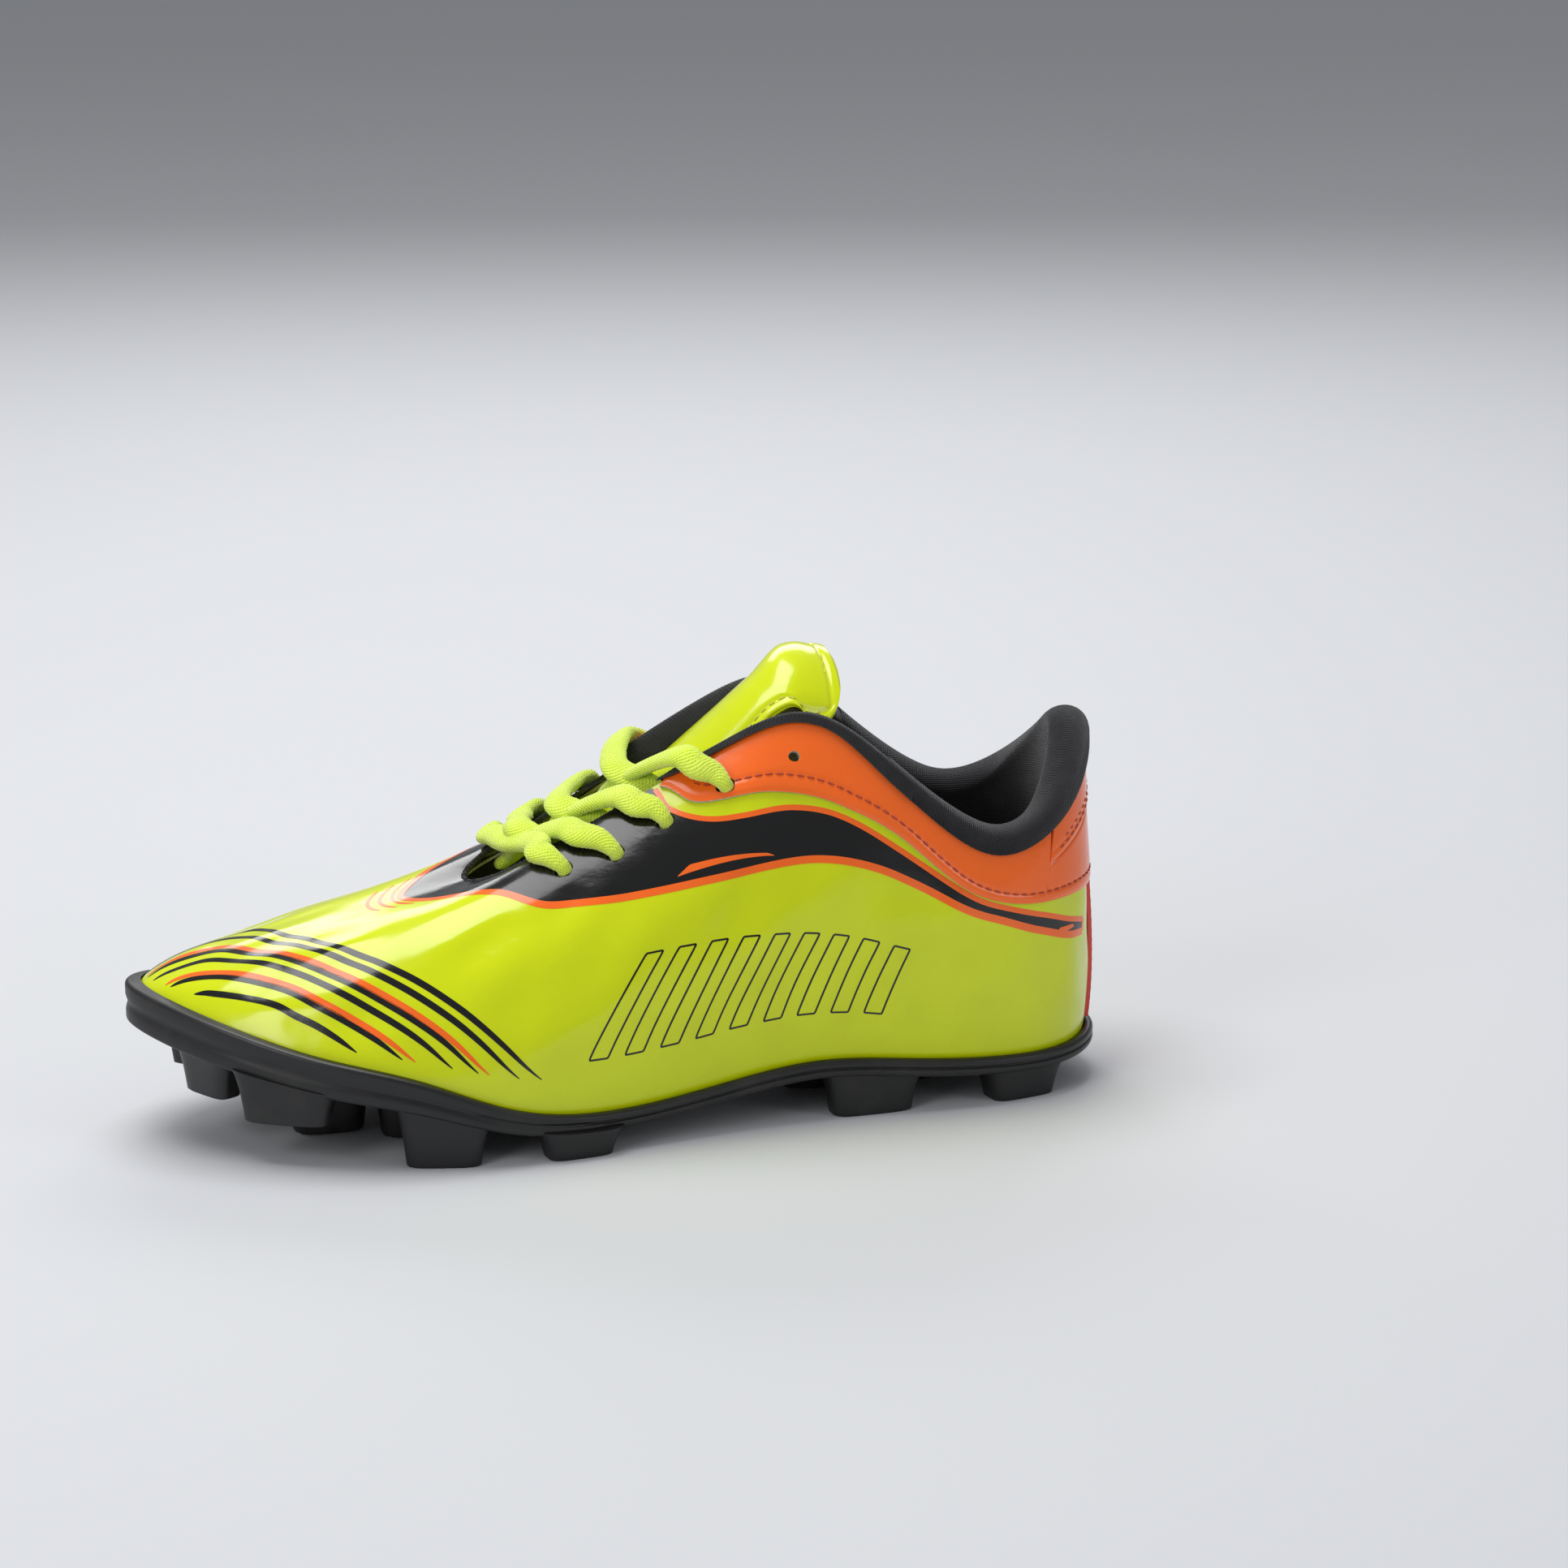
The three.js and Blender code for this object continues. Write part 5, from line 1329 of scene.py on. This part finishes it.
# Each stud: x, y, length, width, turn in degrees, height of its ground face.
STUDS = (
    (-121, -9, 17, 8, -58, 16), (-121, 24, 17, 8, 50, 16), (-103, -29, 24, 9, -28, 12.5), (-101, 33, 22, 9, 24, 12.5),
    (-88, -4, 20, 13, 0, 1), (-61, -40, 21, 10, -12, 0), (-60, 37, 21, 10, 10, 0), (-57, -14, 34, 12, 0, 1),
    (-23, -42, 19, 10, 8, 0), (-22, 36, 19, 10, -12, 0), (72, -2, 50, 12, 0, 1), (67, -27, 24, 10, 3, 0),
    (67, 24, 24, 10, -3, 0), (113, -24, 20, 11, 14, 0), (113, 22, 20, 11, -14, 0))


def stud(x, y, length, width, turn, ground):
    """Tapered blade: an oblong outline that flares towards the plate, its ground face cut into fine ridges."""
    angle = math.radians(turn)
    around = full_turn(256)
    oblong = lambda a: np.sign(a) * abs(a) ** STUD_SQUARE
    # The rings run from the ground face's middle out, round its edge, up the flare and closed inside the plate.
    shrink = np.array([0.0, 0.4, 0.75, 0.9, 1, 1, 1, 1, 1, 1, 1, 1, 1, 0.5, 0.0])
    climb = np.array([0, 0, 0, 0, 0, 0.03, 0.15, 0.3, 0.45, 0.6, 0.75, 0.88, 1, 1, 1])
    grow = STUD_SWELL * (0.62 * climb + 0.38 * climb**4)
    grow[4] -= 0.5
    a, b = length / 2 + grow, width / 2 + grow * 0.6
    p = oblong(np.cos(around)) * (a * shrink)[:, None]
    q = oblong(np.sin(around)) * (b * shrink)[:, None]
    px = x + p * math.cos(angle) - q * math.sin(angle)
    py = y + p * math.sin(angle) + q * math.cos(angle) + SHIFT[1]
    z = ground + (underside_at(px) + 1.2 - ground) * climb[:, None]
    ridged = (climb == 0) & (shrink == 1)
    z = z + np.where(ridged[:, None], RIDGE_DEPTH * np.abs(np.sin(p * np.pi / RIDGE_PITCH)), 0)
    points = np.stack([px, py, z], -1).reshape(-1, 3)
    return points, outward(points, grid_quads(len(climb), len(around), False, True))


plate_points, plate_faces = outsole_plate()
stud_points, stud_faces = joined([stud(*one) for one in STUDS])
put("outsole_moulding", plate_points, plate_faces, [rubber_finish], slot="outsole", replaces=["outsole"], weld=True)
put("outsole_studs", stud_points, stud_faces, [rubber_finish], slot="outsole", weld=True)


def insole(name, node, depth, bottom, thick, finish, slot, bulge=0.0):
    """Closed layer over the floor, rounded at its edge, a little hollow in the middle."""
    u = np.linspace(0, N, 241)[:-1]
    level = along(u)[..., FLOOR]
    middle = spine(u)
    edges = [layer(u, share_at_height(u, level + rise, depth), depth)[..., :2] for rise in (bottom, bottom + thick)]
    nearer = np.linalg.norm(edges[0] - middle, axis=-1) < np.linalg.norm(edges[1] - middle, axis=-1)
    edge = np.where(nearer[:, None], *edges)
    ring = []
    for share in (0.0, 0.35, 0.7, 0.96):
        plan = middle + (edge - middle) * share
        ring.append(raised(plan, floor_under(u, plan) + bottom))
    for share, up in ((1.0, 0.25), (1.0, 0.75)):
        plan = middle + (edge - middle) * share
        ring.append(raised(plan, floor_under(u, plan) + bottom + thick * up))
    for share in (0.97, 0.8, 0.55, 0.3, 0.0):
        plan = middle + (edge - middle) * share
        ring.append(raised(plan, floor_under(u, plan) + bottom + thick - bulge * (1 - share**2)))
    points, faces = dish(ring)
    put(name, points, faces, [finish], None, points[:, :2], slot=slot, replaces=[node], weld=True)


insole("lasting_board_sheet", "lasting_board", STIFFENER_DEPTH + 1.0, 2.2, 1.8, board_finish, "board")
insole("sock_liner_pad", "sock_liner", 6.5, 4.5, 3.2, sock_finish, "sock_liner", 0.4)

# ---------------------------------------------------------------- stage and light
floor_finish = Finish("studio_floor", (0.60, 0.61, 0.632), 0.75, Specular_IOR_Level=0.2).material
floor_mesh = bpy.data.meshes.new("studio_floor")
FLOOR_HALF = 6.0
floor_corners = [(x * FLOOR_HALF, y * FLOOR_HALF, 0) for x, y in ((-1, -1), (1, -1), (1, 1), (-1, 1))]
floor_mesh.from_pydata(floor_corners, [], [(0, 1, 2, 3)])
floor_mesh.materials.append(floor_finish)
studio_floor = bpy.data.objects.new("studio_floor", floor_mesh)
bpy.context.scene.collection.objects.link(studio_floor)


LIGHT_AIM = Vector((0.0, 0.0, 0.06))


def softbox(name, place, size, power, colour=(1.0, 1.0, 1.0)):
    """Square area light aimed at the middle of the shoe."""
    light = bpy.data.lights.new(name, "AREA")
    light.shape, light.size, light.size_y = "RECTANGLE", size[0], size[1]
    light.energy, light.color = power, colour
    holder = bpy.data.objects.new(name, light)
    holder.location = place
    holder.rotation_euler = (LIGHT_AIM - Vector(place)).to_track_quat("-Z", "Y").to_euler()
    bpy.context.scene.collection.objects.link(holder)


softbox("overhead", (-0.2, 0.2, 1.5), (1.3, 0.9), 19)
softbox("front_left", (-1.3, -1.0, 0.9), (0.7, 1.0), 8.5)
softbox("front_right", (1.2, -1.1, 0.7), (0.5, 0.9), 3, (0.96, 0.98, 1.0))
softbox("rim_back", (0.3, 1.3, 0.9), (1.2, 0.5), 7)
world = bpy.data.worlds.new("studio")
world.use_nodes = True
background = next(n for n in world.node_tree.nodes if n.type == "BACKGROUND")
background.inputs["Color"].default_value = (0.87, 0.89, 0.93, 1.0)
background.inputs["Strength"].default_value = 0.33
bpy.context.scene.world = world
